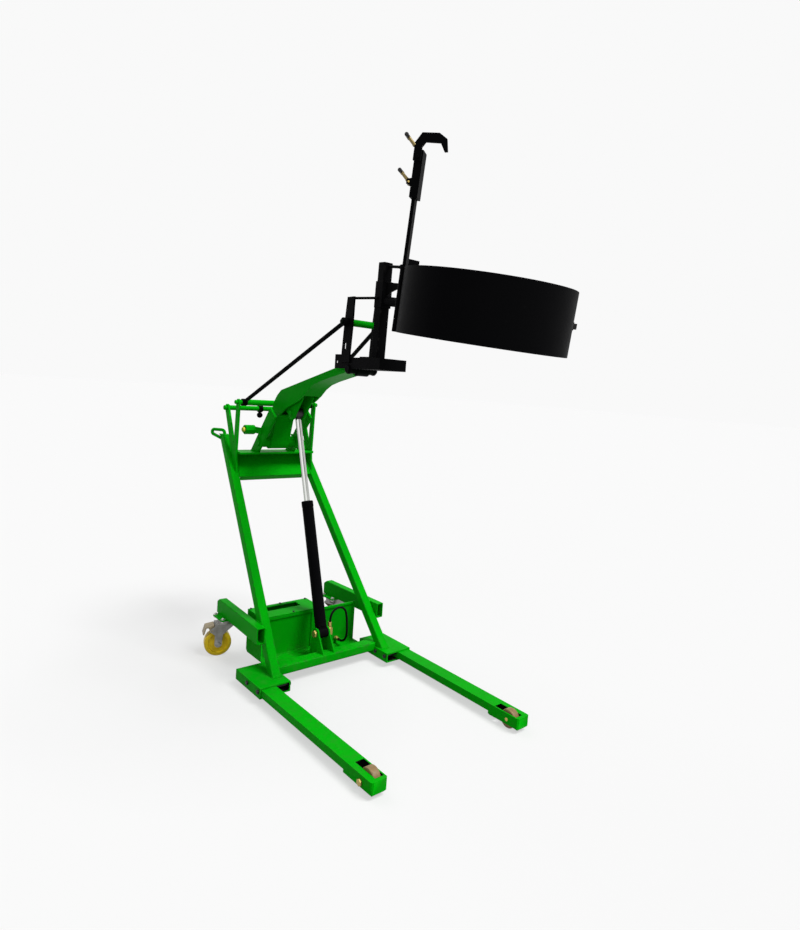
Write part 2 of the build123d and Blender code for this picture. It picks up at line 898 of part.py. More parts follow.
with BuildPart() as tie_shaft:
    rod((-shaft_end, tie_y, tie_z), (shaft_end, tie_y, tie_z), tie_pin_radius)
    rod((-tie_spacer_half, tie_y, tie_z), (tie_spacer_half, tie_y, tie_z), tie_spacer_radius)
keep(tie_shaft, "tie_shaft")

# Push handles at the column tops
with BuildPart() as push_handles:
    for side in (-1, 1):
        top_x, top_y, top_z = column_point(side, column_top)
        with BuildLine() as handle_line:
            FilletPolyline(
                (top_x, top_y + handle_radius + 1, column_top),
                (top_x, top_y + handle_radius + 1, handle_top),
                (side * handle_tip_x, handle_tip_y, handle_top),
                (side * handle_tip_x, handle_tip_y, handle_top - handle_nose),
                column_point(side, handle_low),
                radius=(handle_bend, handle_nose_bend, handle_nose_bend),
            )
        with BuildSketch(Plane(origin=handle_line.line @ 0, z_dir=handle_line.line % 0)):
            Circle(handle_radius)
        sweep(path=handle_line.line)
        cap_deep = column_size / 2 / cos(radians(lean))
        low_y = column_point(side, handle_low - 60)[1]
        plate(
            (
                (low_y - cap_deep, handle_low - 60),
                (low_y + cap_deep, handle_low - 60),
                (top_y + cap_deep, column_top),
                (top_y - cap_deep, column_top),
            ),
            top_x - column_size,
            top_x + column_size,
            mode=Mode.SUBTRACT,
        )
        block(
            (top_x - column_size / 2, top_y - cap_deep, column_top),
            (top_x + column_size / 2, top_y + cap_deep, column_top + handle_cap),
        )
keep(push_handles, "push_handles")

# Cheeks on the shelf and the boom's pivot pin
cheek_outer = cheek_inner + cheek_thick
with BuildPart() as boom_cheeks:
    for side in (-1, 1):
        low = min(side * cheek_inner, side * cheek_outer)
        plate(cheek_outline, low, low + cheek_thick)
    rod(
        (-cheek_outer - 1, boom_pivot_y, boom_pivot_z),
        (cheek_outer + 1, boom_pivot_y, boom_pivot_z),
        boom_pin_radius + running_fit,
        mode=Mode.SUBTRACT,
    )
keep(boom_cheeks, "boom_cheeks")

with BuildPart() as boom_pivot_pin:
    rod(
        (-cheek_outer, boom_pivot_y, boom_pivot_z),
        (cheek_outer, boom_pivot_y, boom_pivot_z),
        boom_pin_radius,
    )
    for side in (-1, 1):
        rod(
            (side * cheek_outer, boom_pivot_y, boom_pivot_z),
            (side * (cheek_outer + boom_pin_head_thick), boom_pivot_y, boom_pivot_z),
            boom_pin_head,
        )
keep(boom_pivot_pin, "boom_pivot_pin")

boom_hollow = boom_half - boom_plate
bush_end = cheek_inner - slip_gap
tip_end = bracket_inner - slip_gap

# Cranked boom, open underneath round the rod eye
with BuildPart() as boom_arm:
    with BuildSketch(Plane.YZ.offset(-boom_half)):
        Polygon(*boom_outline, align=None)
        with Locations((boom_pivot_y, boom_pivot_z)):
            Circle(boom_leg_round)
    extrude(amount=2 * boom_half)
    with BuildSketch(Plane.YZ.offset(-boom_hollow)):
        Polygon(*boom_outline, align=None)
        offset(amount=-boom_plate, kind=Kind.INTERSECTION, mode=Mode.REPLACE)
    extrude(amount=2 * boom_hollow, mode=Mode.SUBTRACT)
    plate(mouth_outline, -boom_hollow, boom_hollow, mode=Mode.SUBTRACT)
    for side in (-1, 1):
        low = min(side * lug_inner, side * (lug_inner + lug_thick))
        with BuildSketch(Plane.YZ.offset(low)):
            Polygon(*lug_outline, align=None)
            with Locations((rod_eye_y, rod_eye_z)):
                Circle(lug_round)
        extrude(amount=lug_thick)
        rod(
            (side * (eye_half + stub_gap), rod_eye_y, rod_eye_z),
            (side * boom_hollow, rod_eye_y, rod_eye_z),
            stub_radius,
        )
    rod((-bush_end, boom_pivot_y, boom_pivot_z), (bush_end, boom_pivot_y, boom_pivot_z), boom_bush_radius)
    for reach, radius in ((boom_tip_half, boom_tip_round), (tip_end, boom_tip_boss)):
        rod((-reach, head_pivot_y, head_pivot_z), (reach, head_pivot_y, head_pivot_z), radius)
    rod(
        (-bush_end - 1, boom_pivot_y, boom_pivot_z),
        (bush_end + 1, boom_pivot_y, boom_pivot_z),
        boom_pin_radius + running_fit,
        mode=Mode.SUBTRACT,
    )
    rod(
        (-tip_end - 1, head_pivot_y, head_pivot_z),
        (tip_end + 1, head_pivot_y, head_pivot_z),
        head_pin_radius + running_fit,
        mode=Mode.SUBTRACT,
    )
keep(boom_arm, "boom_arm")


def along_stroke(distance):
    """A place on the cylinder's centre line, measured from its foot."""
    return foot_point + stroke_axis * distance


# Foot lugs of the cylinder, standing on the tray
tray_top = box_bottom + tray_thick
with BuildPart() as cylinder_foot:
    for side in (-1, 1):
        with BuildSketch(Plane.YZ.offset(min(side * foot_lug_inner, side * foot_pin_end))):
            Polygon(
                (beam_back, tray_top),
                (cylinder_foot_y + 48, tray_top),
                (cylinder_foot_y + foot_lug_round, cylinder_foot_z),
                (cylinder_foot_y - foot_lug_round, cylinder_foot_z),
                (beam_front + 4, beam_top),
                (beam_back, beam_top),
                align=None,
            )
            with Locations((cylinder_foot_y, cylinder_foot_z)):
                Circle(foot_lug_round)
                Circle(foot_pin_radius + running_fit, mode=Mode.SUBTRACT)
        extrude(amount=foot_lug_thick)
keep(cylinder_foot, "cylinder_foot")

# Cylinder barrel with its foot eye
with BuildPart() as cylinder_barrel:
    rod(
        (-foot_lug_inner + slip_gap, cylinder_foot_y, cylinder_foot_z),
        (foot_lug_inner - slip_gap, cylinder_foot_y, cylinder_foot_z),
        eye_radius,
    )
    bar(along_stroke(0), along_stroke(barrel_start + 4), 2 * eye_half, 2 * eye_half)
    rod(along_stroke(barrel_start), along_stroke(barrel_end), barrel_radius)
    rod(
        along_stroke(barrel_start + barrel_cap),
        along_stroke(barrel_end + 1),
        barrel_bore,
        mode=Mode.SUBTRACT,
    )
    rod(
        (-foot_lug_inner - 1, cylinder_foot_y, cylinder_foot_z),
        (foot_lug_inner + 1, cylinder_foot_y, cylinder_foot_z),
        foot_pin_radius + running_fit,
        mode=Mode.SUBTRACT,
    )
keep(cylinder_barrel, "cylinder_barrel")

# Gland at the barrel's top
with BuildPart() as cylinder_gland:
    rod(along_stroke(barrel_end), along_stroke(barrel_end + gland_length), gland_radius)
    chamfer(cylinder_gland.edges().filter_by(GeomType.CIRCLE), 3)
    rod(along_stroke(barrel_end - gland_depth), along_stroke(barrel_end), barrel_bore)
    rod(
        along_stroke(barrel_end - gland_depth - 1),
        along_stroke(barrel_end + gland_length + 1),
        rod_radius + running_fit,
        mode=Mode.SUBTRACT,
    )
keep(cylinder_gland, "cylinder_gland")

# Piston rod
with BuildPart() as piston_rod:
    rod(along_stroke(rod_tail), along_stroke(eye_distance - eye_radius + 6), rod_radius)
    rod(along_stroke(rod_tail), along_stroke(rod_tail + piston_length), barrel_bore - running_fit)
    rod((-eye_half, rod_eye_y, rod_eye_z), (eye_half, rod_eye_y, rod_eye_z), eye_radius)
    rod(
        (-eye_half - 1, rod_eye_y, rod_eye_z),
        (eye_half + 1, rod_eye_y, rod_eye_z),
        stub_radius + running_fit,
        mode=Mode.SUBTRACT,
    )
keep(piston_rod, "piston_rod")

# Pump box: tray, walls and framed front panel
box_outline = (
    (beam_back, box_bottom),
    (box_back - box_chamfer, box_bottom),
    (box_back, box_bottom + box_chamfer),
    (box_back, box_top - lid_thick),
    (box_front, box_top - lid_thick),
    (box_front, tray_top),
    (beam_back, tray_top),
)
box_hollow = (
    (box_front + panel_depth + box_wall, tray_top),
    (box_back - box_chamfer - box_wall, tray_top),
    (box_back - box_wall, box_bottom + box_chamfer + box_wall),
    (box_back - box_wall, box_top),
    (box_front + panel_depth + box_wall, box_top),
)
with BuildPart() as pump_box:
    plate(box_outline, -box_half, box_half)
    plate(box_hollow, -box_half + box_wall, box_half - box_wall, mode=Mode.SUBTRACT)
    for low, high in ((-box_half + panel_frame, stiffener_left), (stiffener_right, box_half - panel_frame)):
        block(
            (low, box_front, tray_top + panel_frame),
            (high, box_front + panel_depth, box_top - lid_thick - panel_frame),
            mode=Mode.SUBTRACT,
        )
    block(
        (lid_end - box_wall, box_front + panel_depth, box_bottom + box_chamfer + box_wall),
        (lid_end, box_back - box_wall / 2, box_top - lid_thick),
    )
    plate(
        (
            (box_front + panel_depth + box_wall, box_top + 1),
            (box_front + panel_depth + box_wall, box_top - lid_thick),
            (box_back - 30, low_wall),
            (box_back + 1, low_wall),
            (box_back + 1, box_top + 1),
        ),
        lid_end,
        box_half + 1,
        mode=Mode.SUBTRACT,
    )
keep(pump_box, "pump_box")

with BuildPart() as box_lid:
    block((-box_half, box_front, box_top - lid_thick), (lid_end, box_back, box_top))
    rim = box_wall + bolt_gap
    block(
        (-box_half + rim, box_front + panel_depth + rim, box_top - lid_thick - lid_rim),
        (lid_end - rim, box_back - rim, box_top - lid_thick),
    )
    block(
        (-box_half + rim + 5, box_front + panel_depth + rim + 5, box_top - lid_thick - lid_rim - 1),
        (lid_end - rim - 5, box_back - rim - 5, box_top - lid_thick),
        mode=Mode.SUBTRACT,
    )
    block((slot_x_low, slot_y_low, box_top - 20), (slot_x_high, slot_y_high, box_top + 1), mode=Mode.SUBTRACT)
keep(box_lid, "box_lid")

# Battery and power pack on the tray
pack_side = box_half - box_wall - pack_side_gap
pack_front = box_front + panel_depth + box_wall + pack_front_gap
battery_low = -pack_side
battery_top = tray_top + battery_high
with BuildPart() as battery:
    block(
        (battery_low, pack_front, tray_top),
        (battery_low + battery_long, pack_front + battery_deep, battery_top),
    )
    fillet(battery.edges().filter_by(Axis.Z), battery_corner)
    for post_x in (battery_low + post_inset, battery_low + battery_long - post_inset):
        post_y = pack_front + post_setback
        rod((post_x, post_y, battery_top), (post_x, post_y, battery_top + post_rise), post_radius)
keep(battery, "battery")

tank_low = pack_side - tank_long
motor_low = tank_low + motor_setback
motor_y = pack_front + tank_deep / 2
motor_z = tray_top + motor_rise
with BuildPart() as power_pack:
    block((tank_low, pack_front, tray_top), (pack_side, pack_front + tank_deep, tray_top + tank_high))
    fillet(power_pack.edges().filter_by(Axis.Z), tank_corner)
    rod((motor_low, motor_y, motor_z), (motor_low + motor_long, motor_y, motor_z), motor_radius)
    block(
        (motor_low + 2 - pump_plate, motor_y - pump_half, tray_top + pump_low),
        (motor_low + 2, motor_y + pump_half, tray_top + pump_high),
    )
keep(power_pack, "power_pack")

# Hose fittings on the foot and on the front panel
port_low = foot_pin_end
with BuildPart() as hose_port:
    block(
        (port_low, cylinder_foot_y - port_block[1] / 2, cylinder_foot_z - port_block[2] / 2),
        (port_block[0], cylinder_foot_y + port_block[1] / 2, cylinder_foot_z + port_block[2] / 2),
    )
    rod((hose_points[0][0], cylinder_foot_y, cylinder_foot_z), hose_points[0], fitting_radius)
    rod(hose_points[-1], (hose_points[-1][0], box_front + panel_depth, hose_points[-1][2]), fitting_radius)
keep(hose_port, "hose_port")

runs = [(Vector(b) - Vector(a)) for a, b in zip(hose_points, hose_points[1:])]
bends = []
for first, second in zip(runs, runs[1:]):
    half_turn = radians(first.get_angle(second)) / 2
    bends.append(hose_tightness * min(first.length, second.length) / tan(half_turn))
print("tightest hose bend", round(min(bends), 1))

with BuildPart() as hydraulic_hose:
    with BuildLine() as hose_line:
        FilletPolyline(*hose_points, radius=bends)
    with BuildSketch(Plane(origin=hose_points[0], z_dir=hose_line.line % 0)):
        Circle(hose_radius)
    sweep(path=hose_line.line)
print("hose length", round(hose_line.wire().length, 1))
keep(hydraulic_hose, "hydraulic_hose")

# Control body with its push button
control_inner = -cheek_outer - control_plate
control_end = control_inner - control_long
with BuildPart() as control_body:
    with BuildSketch(Plane(origin=(control_inner, control_y, control_z), z_dir=(-1, 0, 0))):
        RegularPolygon(control_radius, 8)
    extrude(amount=control_long)
    block(
        (control_inner, control_root_y, control_z - 16),
        (-cheek_outer, control_y + control_radius - 6, control_z + 16),
    )
    rod(
        (control_end + button_depth, control_y, control_z),
        (control_end - 1, control_y, control_z),
        button_radius + running_fit,
        mode=Mode.SUBTRACT,
    )
keep(control_body, "control_body")

with BuildPart() as control_button:
    rod(
        (control_end + button_depth - button_travel - 1, control_y, control_z),
        (control_end - button_proud, control_y, control_z),
        button_radius,
    )
    fillet(control_button.edges().filter_by(GeomType.CIRCLE).sort_by(Axis.X)[0], 3)
keep(control_button, "control_button")

# Lowering lever on the rear shaft
with BuildPart() as lowering_lever:
    rod(
        (lever_x - lever_half, rear_shaft_y, rear_shaft_z),
        (lever_x + lever_half, rear_shaft_y, rear_shaft_z),
        lever_hub_radius,
    )
    rod((lever_x, rear_shaft_y, rear_shaft_z), (lever_x, rear_shaft_y, rear_shaft_z - lever_drop), 6)
    with Locations((lever_x, rear_shaft_y, rear_shaft_z - lever_drop)):
        Sphere(lever_knob_radius)
    rod(
        (lever_x - lever_half - 1, rear_shaft_y, rear_shaft_z),
        (lever_x + lever_half + 1, rear_shaft_y, rear_shaft_z),
        rear_shaft_radius + running_fit,
        mode=Mode.SUBTRACT,
    )
keep(lowering_lever, "lowering_lever")

bracket_outer = bracket_inner + bracket_plate

# Head bracket round the boom's tip
with BuildPart() as head_bracket:
    block((-bracket_outer, bracket_front, bracket_bottom), (bracket_outer, bracket_back, bracket_top))
    for side in (-1, 1):
        rod(
            (side * bracket_inner, head_pivot_y, head_pivot_z),
            (side * bracket_outer, head_pivot_y, head_pivot_z),
            bracket_boss,
        )
        block(
            (side * bracket_inner, bracket_step_y, bracket_bottom),
            (side * bracket_outer, bracket_back, bracket_rear_top),
        )
    block(
        (-bracket_inner, bracket_web_back, bracket_bottom - 1),
        (bracket_inner, bracket_back + 1, bracket_rear_top + 1),
        mode=Mode.SUBTRACT,
    )
    block(
        (-bracket_inner, bracket_front + bracket_plate, bracket_bottom + bracket_plate),
        (bracket_inner, bracket_web_back, bracket_top - bracket_plate),
        mode=Mode.SUBTRACT,
    )
    rod(
        (-bracket_outer - 1, head_pivot_y, head_pivot_z),
        (bracket_outer + 1, head_pivot_y, head_pivot_z),
        head_pin_radius + running_fit,
        mode=Mode.SUBTRACT,
    )
    rod(
        (-bracket_outer - 1, bracket_hole_y, bracket_hole_z),
        (bracket_outer + 1, bracket_hole_y, bracket_hole_z),
        bracket_hole_radius,
        mode=Mode.SUBTRACT,
    )
keep(head_bracket, "head_bracket")

with BuildPart() as head_pin:
    rod(
        (-bracket_outer, head_pivot_y, head_pivot_z),
        (bracket_outer, head_pivot_y, head_pivot_z),
        head_pin_radius,
    )
    for side in (-1, 1):
        rod(
            (side * bracket_outer, head_pivot_y, head_pivot_z),
            (side * (bracket_outer + head_pin_head_thick), head_pivot_y, head_pivot_z),
            head_pin_head,
        )
keep(head_pin, "head_pin")

column_foot_point = Vector(head_column_foot)
column_head_point = Vector(head_column_head)
column_axis = (column_head_point - column_foot_point).normalized()

# Head column, drilled for the lock pin
with BuildPart() as head_column:
    bar(column_foot_point - column_axis * 20, column_head_point, head_column_size, head_column_size)
    bar(
        column_foot_point - column_axis * 20,
        column_head_point - column_axis * head_column_wall,
        head_column_size - 2 * head_column_wall,
        head_column_size - 2 * head_column_wall,
        mode=Mode.SUBTRACT,
    )
    split(bisect_by=Plane.XY.offset(bracket_top), keep=Keep.TOP)
    rod(
        ring_at(0, index_back, lock_pin_z),
        ring_at(0, lock_pin_back + 20, lock_pin_z),
        lock_pin_radius + running_fit,
        mode=Mode.SUBTRACT,
    )
keep(head_column, "head_column")


def column_spot(z):
    """The head column's middle at a height."""
    rise = (z - head_column_foot[2]) / column_axis.Z
    return column_foot_point + column_axis * rise


# Sleeve on the head column with the clamp's turning bore
sleeve_size = head_column_size + 2 * housing_wall
with BuildPart() as pivot_housing:
    bar(column_spot(housing_low), column_spot(housing_high), sleeve_size, sleeve_size)
    rod(ring_at(0, housing_front, 0), column_spot(housing_root), housing_radius)
    plate(
        (
            (housing_front + 4, gusset_tip),
            (gusset_root, gusset_low),
            (gusset_root, gusset_high),
            (housing_front + 4, gusset_high),
        ),
        -gusset_half,
        gusset_half,
        Plane(origin=ring_plane.origin, x_dir=ring_plane.y_dir, z_dir=(1, 0, 0)),
    )
    bar(
        column_spot(housing_low - 20),
        column_spot(housing_high + 20),
        head_column_size + 2 * housing_fit,
        head_column_size + 2 * housing_fit,
        mode=Mode.SUBTRACT,
    )
    rod(
        ring_at(0, housing_front - 1, 0),
        ring_at(0, hub_shaft_end + 1, 0),
        hub_shaft_radius + running_fit,
        mode=Mode.SUBTRACT,
    )
keep(pivot_housing, "pivot_housing")

# Uprights with their stays to the sleeve
with BuildPart() as head_uprights:
    for side in (-1, 1):
        low = min(side * bracket_outer, side * (bracket_outer + bracket_plate))
        plate(upright_outline, low, low + bracket_plate)
        side_x = side * (bracket_outer + bracket_plate / 2)
        sleeve_x = side * sleeve_size / 2
        rod((side_x, stay_y, stay_z), (sleeve_x, column_spot(stay_z).Y, stay_z), stay_radius)
    block(
        (-sleeve_size / 2, column_spot(stay_z).Y - 40, stay_z - 20),
        (sleeve_size / 2, column_spot(stay_z).Y + 40, stay_z + 20),
        mode=Mode.SUBTRACT,
    )
    rod((-200, link_y, link_z), (200, link_y, link_z), link_pin_radius + running_fit, mode=Mode.SUBTRACT)
    with BuildSketch(Plane.YZ.offset(-200)):
        with Locations((upright_slot_y, upright_slot_z)):
            SlotOverall(upright_slot_long, upright_slot_wide, rotation=90)
    extrude(amount=400, mode=Mode.SUBTRACT)
keep(head_uprights, "head_uprights")

upright_face = bracket_outer + bracket_plate
eye_inner = upright_face + 1.5
link_end = eye_inner + 2 * tie_eye_half + 8

# Link shaft through the uprights
with BuildPart() as link_shaft:
    rod((-link_end, link_y, link_z), (link_end, link_y, link_z), link_pin_radius)
    spacer_end = bracket_outer - slip_gap
    rod((-spacer_end, link_y, link_z), (spacer_end, link_y, link_z), link_spacer_radius)
keep(link_shaft, "link_shaft")

# Levelling tie rods
for side, name in ((-1, "right"), (1, "left")):
    front_x = side * (eye_inner + tie_eye_half)
    rear_x = side * tie_rear_x
    with BuildPart() as tie_rod:
        rod((rear_x, tie_y, tie_z), (front_x, link_y, link_z), tie_rod_radius)
        for eye_x, eye_y, eye_z in ((rear_x, tie_y, tie_z), (front_x, link_y, link_z)):
            rod((eye_x - tie_eye_half, eye_y, eye_z), (eye_x + tie_eye_half, eye_y, eye_z), tie_eye_radius)
        for eye_x, eye_y, eye_z, hole in (
            (rear_x, tie_y, tie_z, tie_pin_radius),
            (front_x, link_y, link_z, link_pin_radius),
        ):
            rod(
                (eye_x - 30, eye_y, eye_z),
                (eye_x + 30, eye_y, eye_z),
                hole + running_fit,
                mode=Mode.SUBTRACT,
            )
    keep(tie_rod, name + "_tie_rod")

# Clamp hub: turning shaft, index plate and standoff
with BuildPart() as clamp_hub:
    rod(ring_at(0, index_front, 0), ring_at(0, hub_shaft_end, 0), hub_shaft_radius)
    rod(ring_at(0, index_back, 0), ring_at(0, housing_front - 4, 0), housing_radius)
    block((-index_half, index_front, index_low), (index_half, index_back, index_high), ring_plane)
    for side in (-1, 1):
        block(
            (side * standoff_inner, band_inner, -standoff_half),
            (side * index_half, index_front, standoff_half),
            ring_plane,
        )
    block((-index_half, band_inner + 20, -6), (index_half, index_front, 6), ring_plane)
    with Locations(ring_plane):
        Cylinder(band_outer, 4 * band_half, mode=Mode.SUBTRACT)
keep(clamp_hub, "clamp_hub")

hinge_radius = band_outer + hinge_standoff
hinge_spot = polar(hinge_radius, hinge_azimuth)
saddle_start = hinge_azimuth - 180 + end_gap
saddle_sweep = 180 - 2 * end_gap
inner_knuckle, outer_knuckle = knuckle_edges
saddle_knuckles = ((-band_half, -outer_knuckle), (-inner_knuckle, inner_knuckle), (outer_knuckle, band_half))
gate_knuckles = (
    (-outer_knuckle + knuckle_gap, -inner_knuckle - knuckle_gap),
    (inner_knuckle + knuckle_gap, outer_knuckle - knuckle_gap),
)
latch_out = polar(1, latch_azimuth)
latch_origin = ring_at(band_outer * latch_out[0], band_outer * latch_out[1], 0)
latch_v = ring_plane.x_dir * latch_out[0] + ring_plane.y_dir * latch_out[1]
latch_u = ring_plane.z_dir.cross(latch_v)
latch_plane = Plane(origin=latch_origin, x_dir=latch_u, z_dir=ring_plane.z_dir * -1)
rim_plane = radial_plane(rim_azimuth)


def latch_pin(place, low, high, radius, mode=Mode.ADD):
    """A pin along the ring's axis in the latch's frame."""
    start = latch_plane.from_local_coords(Vector(place[0], place[1], low))
    end = latch_plane.from_local_coords(Vector(place[0], place[1], high))
    rod(start, end, radius, mode)


def rim_pin(place, low, high, radius, mode=Mode.ADD):
    """A pin along the band in the rim clamp's frame."""
    start = rim_plane.from_local_coords(Vector(place[0], place[1], low))
    end = rim_plane.from_local_coords(Vector(place[0], place[1], high))
    rod(start, end, radius, mode)


# Saddle: the fixed half of the band, with hinge, latch lugs and rim post
with BuildPart() as clamp_saddle:
    sector(band_inner, band_outer, saddle_start, saddle_sweep, -band_half, band_half)
    for low, high in gate_knuckles:
        start = ring_at(hinge_spot[0], hinge_spot[1], low - knuckle_gap)
        end = ring_at(hinge_spot[0], hinge_spot[1], high + knuckle_gap)
        rod(start, end, knuckle_relief, mode=Mode.SUBTRACT)
    for low, high in saddle_knuckles:
        rod(ring_at(*hinge_spot, low), ring_at(*hinge_spot, high), knuckle_radius)
    rod(
        ring_at(hinge_spot[0], hinge_spot[1], -band_half),
        ring_at(hinge_spot[0], hinge_spot[1], band_half),
        hinge_pin_radius,
    )
    plate(
        (
            (band_inner + 2, post_low),
            (band_outer + post_thick, post_low),
            (band_outer + post_thick, post_high),
            (band_outer, post_high),
            (band_outer, band_half),
            (band_inner + 2, band_half),
        ),
        -post_half,
        post_half,
        rim_plane,
    )
    for end in (-1, 1):
        low = min(end * latch_lug_low, end * latch_lug_high)
        high = low + latch_lug_high - latch_lug_low
        plate(((-14, -4), (16, -4), (9, 20), (-9, 20)), low, high, latch_plane)
        latch_pin(latch_pivot, end * lever_plate_low, end * latch_lug_high, latch_pin_radius)
    with Locations(ring_plane):
        Cylinder(band_inner, 2 * band_half, mode=Mode.SUBTRACT)
keep(clamp_saddle, "clamp_saddle")

with BuildPart() as saddle_liner:
    sector(drum_radius, band_inner, saddle_start + 0.4, saddle_sweep - 2.2, -band_half, band_half)
keep(saddle_liner, "saddle_liner")

# Gate: the swinging half of the band, with the latch's keeper
with BuildPart() as gate_jaw:
    sector(band_inner, band_outer, hinge_azimuth + end_gap, saddle_sweep, -band_half, band_half)
    for low, high in saddle_knuckles:
        start = ring_at(hinge_spot[0], hinge_spot[1], low - knuckle_gap)
        end = ring_at(hinge_spot[0], hinge_spot[1], high + knuckle_gap)
        rod(start, end, knuckle_relief, mode=Mode.SUBTRACT)
    for low, high in gate_knuckles:
        rod(ring_at(*hinge_spot, low), ring_at(*hinge_spot, high), knuckle_radius)
    rod(
        ring_at(hinge_spot[0], hinge_spot[1], -band_half),
        ring_at(hinge_spot[0], hinge_spot[1], band_half),
        hinge_pin_radius + running_fit,
        mode=Mode.SUBTRACT,
    )
    plate(
        ((keeper_far, keeper_top), (keeper_far, -19), (keeper_near, -17), (keeper_near, keeper_top)),
        -keeper_half,
        keeper_half,
        latch_plane,
    )
keep(gate_jaw, "gate_jaw")

with BuildPart() as gate_liner:
    sector(drum_radius, band_inner, hinge_azimuth + end_gap + 1.8, saddle_sweep - 2.2, -band_half, band_half)
keep(gate_liner, "gate_liner")

# Lock pin with its knob
with BuildPart() as lock_pin:
    rod(ring_at(0, index_back + slip_gap, lock_pin_z), ring_at(0, lock_pin_back, lock_pin_z), lock_pin_radius)
    with Locations(ring_at(0, lock_knob_y, lock_pin_z)):
        Sphere(lock_knob_radius)
keep(lock_pin, "lock_pin")

# Latch lever and hook
with BuildPart() as latch_lever:
    for end in (-1, 1):
        low = min(end * lever_plate_low, end * lever_plate_high)
        outline = ((-8, 9), (-5, 20), (12, 21), (26, 16), (26, 9), (5, 6))
        plate(outline, low, low + lever_plate_high - lever_plate_low, latch_plane)
    plate(((19, 10), (85, 3), (86, 8), (19, 16)), -lever_plate_high, lever_plate_high, latch_plane)
    latch_pin(latch_hook_pivot, -lever_plate_low, lever_plate_low, hook_pin_radius)
    for end in (-1, 1):
        latch_pin(latch_pivot, end * 9, end * 20, latch_pin_radius + running_fit, mode=Mode.SUBTRACT)
keep(latch_lever, "latch_lever")

with BuildPart() as latch_hook:
    plate(
        ((10, 19), (10, 9), (-55, 2), (-93.5, -3.5), (-93.5, -12), (-100, -12), (-100, 2), (-55, 9)),
        -hook_half,
        hook_half,
        latch_plane,
    )
    latch_pin(latch_hook_pivot, -hook_half, hook_half, 5.2)
    latch_pin(
        latch_hook_pivot,
        -hook_half - 1,
        hook_half + 1,
        hook_pin_radius + running_fit,
        mode=Mode.SUBTRACT,
    )
keep(latch_hook, "latch_hook")

carriage_half = post_half + carriage_wall
carriage_front = band_outer + post_thick + carriage_wall
beak_pivot = (band_outer + beak_pin_out, carriage_high - beak_pin_drop)
rim_lock_pivot = (band_outer + rim_lock_out, carriage_low + rim_lock_rise)

# Carriage on the rim post
with BuildPart() as rim_carriage:
    block(
        (band_outer - carriage_wall, carriage_low, -carriage_half),
        (carriage_front, carriage_high, carriage_half),
        rim_plane,
    )
    block(
        (band_outer - carriage_fit, carriage_low - 1, -post_half - carriage_fit),
        (band_outer + post_thick + carriage_fit, carriage_high + 1, post_half + carriage_fit),
        rim_plane,
        mode=Mode.SUBTRACT,
    )
    rim_pin(beak_pivot, -carriage_half, -beak_side - beak_thick - 4, beak_pin_radius)
    for end in (-1, 1):
        low = min(end * (rim_lock_half + slip_gap), end * (rim_lock_half + slip_gap + rim_lug_thick))
        plate(
            (
                (carriage_front - 1, rim_lock_pivot[1] - 14),
                (rim_lock_pivot[0] + 8, rim_lock_pivot[1] - 8),
                (rim_lock_pivot[0] + 8, rim_lock_pivot[1] + 8),
                (carriage_front - 1, rim_lock_pivot[1] + 14),
            ),
            low,
            low + rim_lug_thick,
            rim_plane,
        )
        rim_pin(rim_lock_pivot, low, low + rim_lug_thick, rim_lock_pin + running_fit, mode=Mode.SUBTRACT)
keep(rim_carriage, "rim_carriage")


def rim_lever(foot, offset):
    """A leaning stem with a short crossbar."""
    root = rim_plane.from_local_coords(Vector(foot[0], foot[1], offset))
    tip_at = Vector(foot[0] + rim_lever_reach[0], foot[1] + rim_lever_reach[1], offset)
    tip = rim_plane.from_local_coords(tip_at)
    rod(root, tip, rim_lever_radius)
    place = (foot[0] + rim_lever_reach[0], foot[1] + rim_lever_reach[1])
    rim_pin(place, offset - rim_lever_bar, offset + rim_lever_bar, rim_lever_radius)


# Beak with its lever
with BuildPart() as rim_beak:
    beak_shape = [(band_outer + out, carriage_high + rise) for out, rise in beak_outline]
    plate(beak_shape, -beak_side - beak_thick, -beak_side, rim_plane)
    beak_foot = (band_outer + beak_lever_out, carriage_high + beak_lever_rise)
    rim_lever(beak_foot, -beak_side - beak_thick / 2)
    rim_pin(
        beak_pivot,
        -beak_side - beak_thick - 1,
        -beak_side + 1,
        beak_pin_radius + running_fit,
        mode=Mode.SUBTRACT,
    )
keep(rim_beak, "rim_beak")

with BuildPart() as rim_lock_lever:
    rim_pin(rim_lock_pivot, -rim_lock_half, rim_lock_half, rim_lock_boss)
    rim_pin(
        rim_lock_pivot,
        -rim_lock_half - slip_gap - rim_lug_thick,
        rim_lock_half + slip_gap + rim_lug_thick,
        rim_lock_pin,
    )
    rim_lever(rim_lock_pivot, 0)
keep(rim_lock_lever, "rim_lock_lever")
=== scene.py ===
import json
from math import atan, cos, pi, radians, sin, sqrt

import bmesh
import bpy
from mathutils import Matrix, Vector

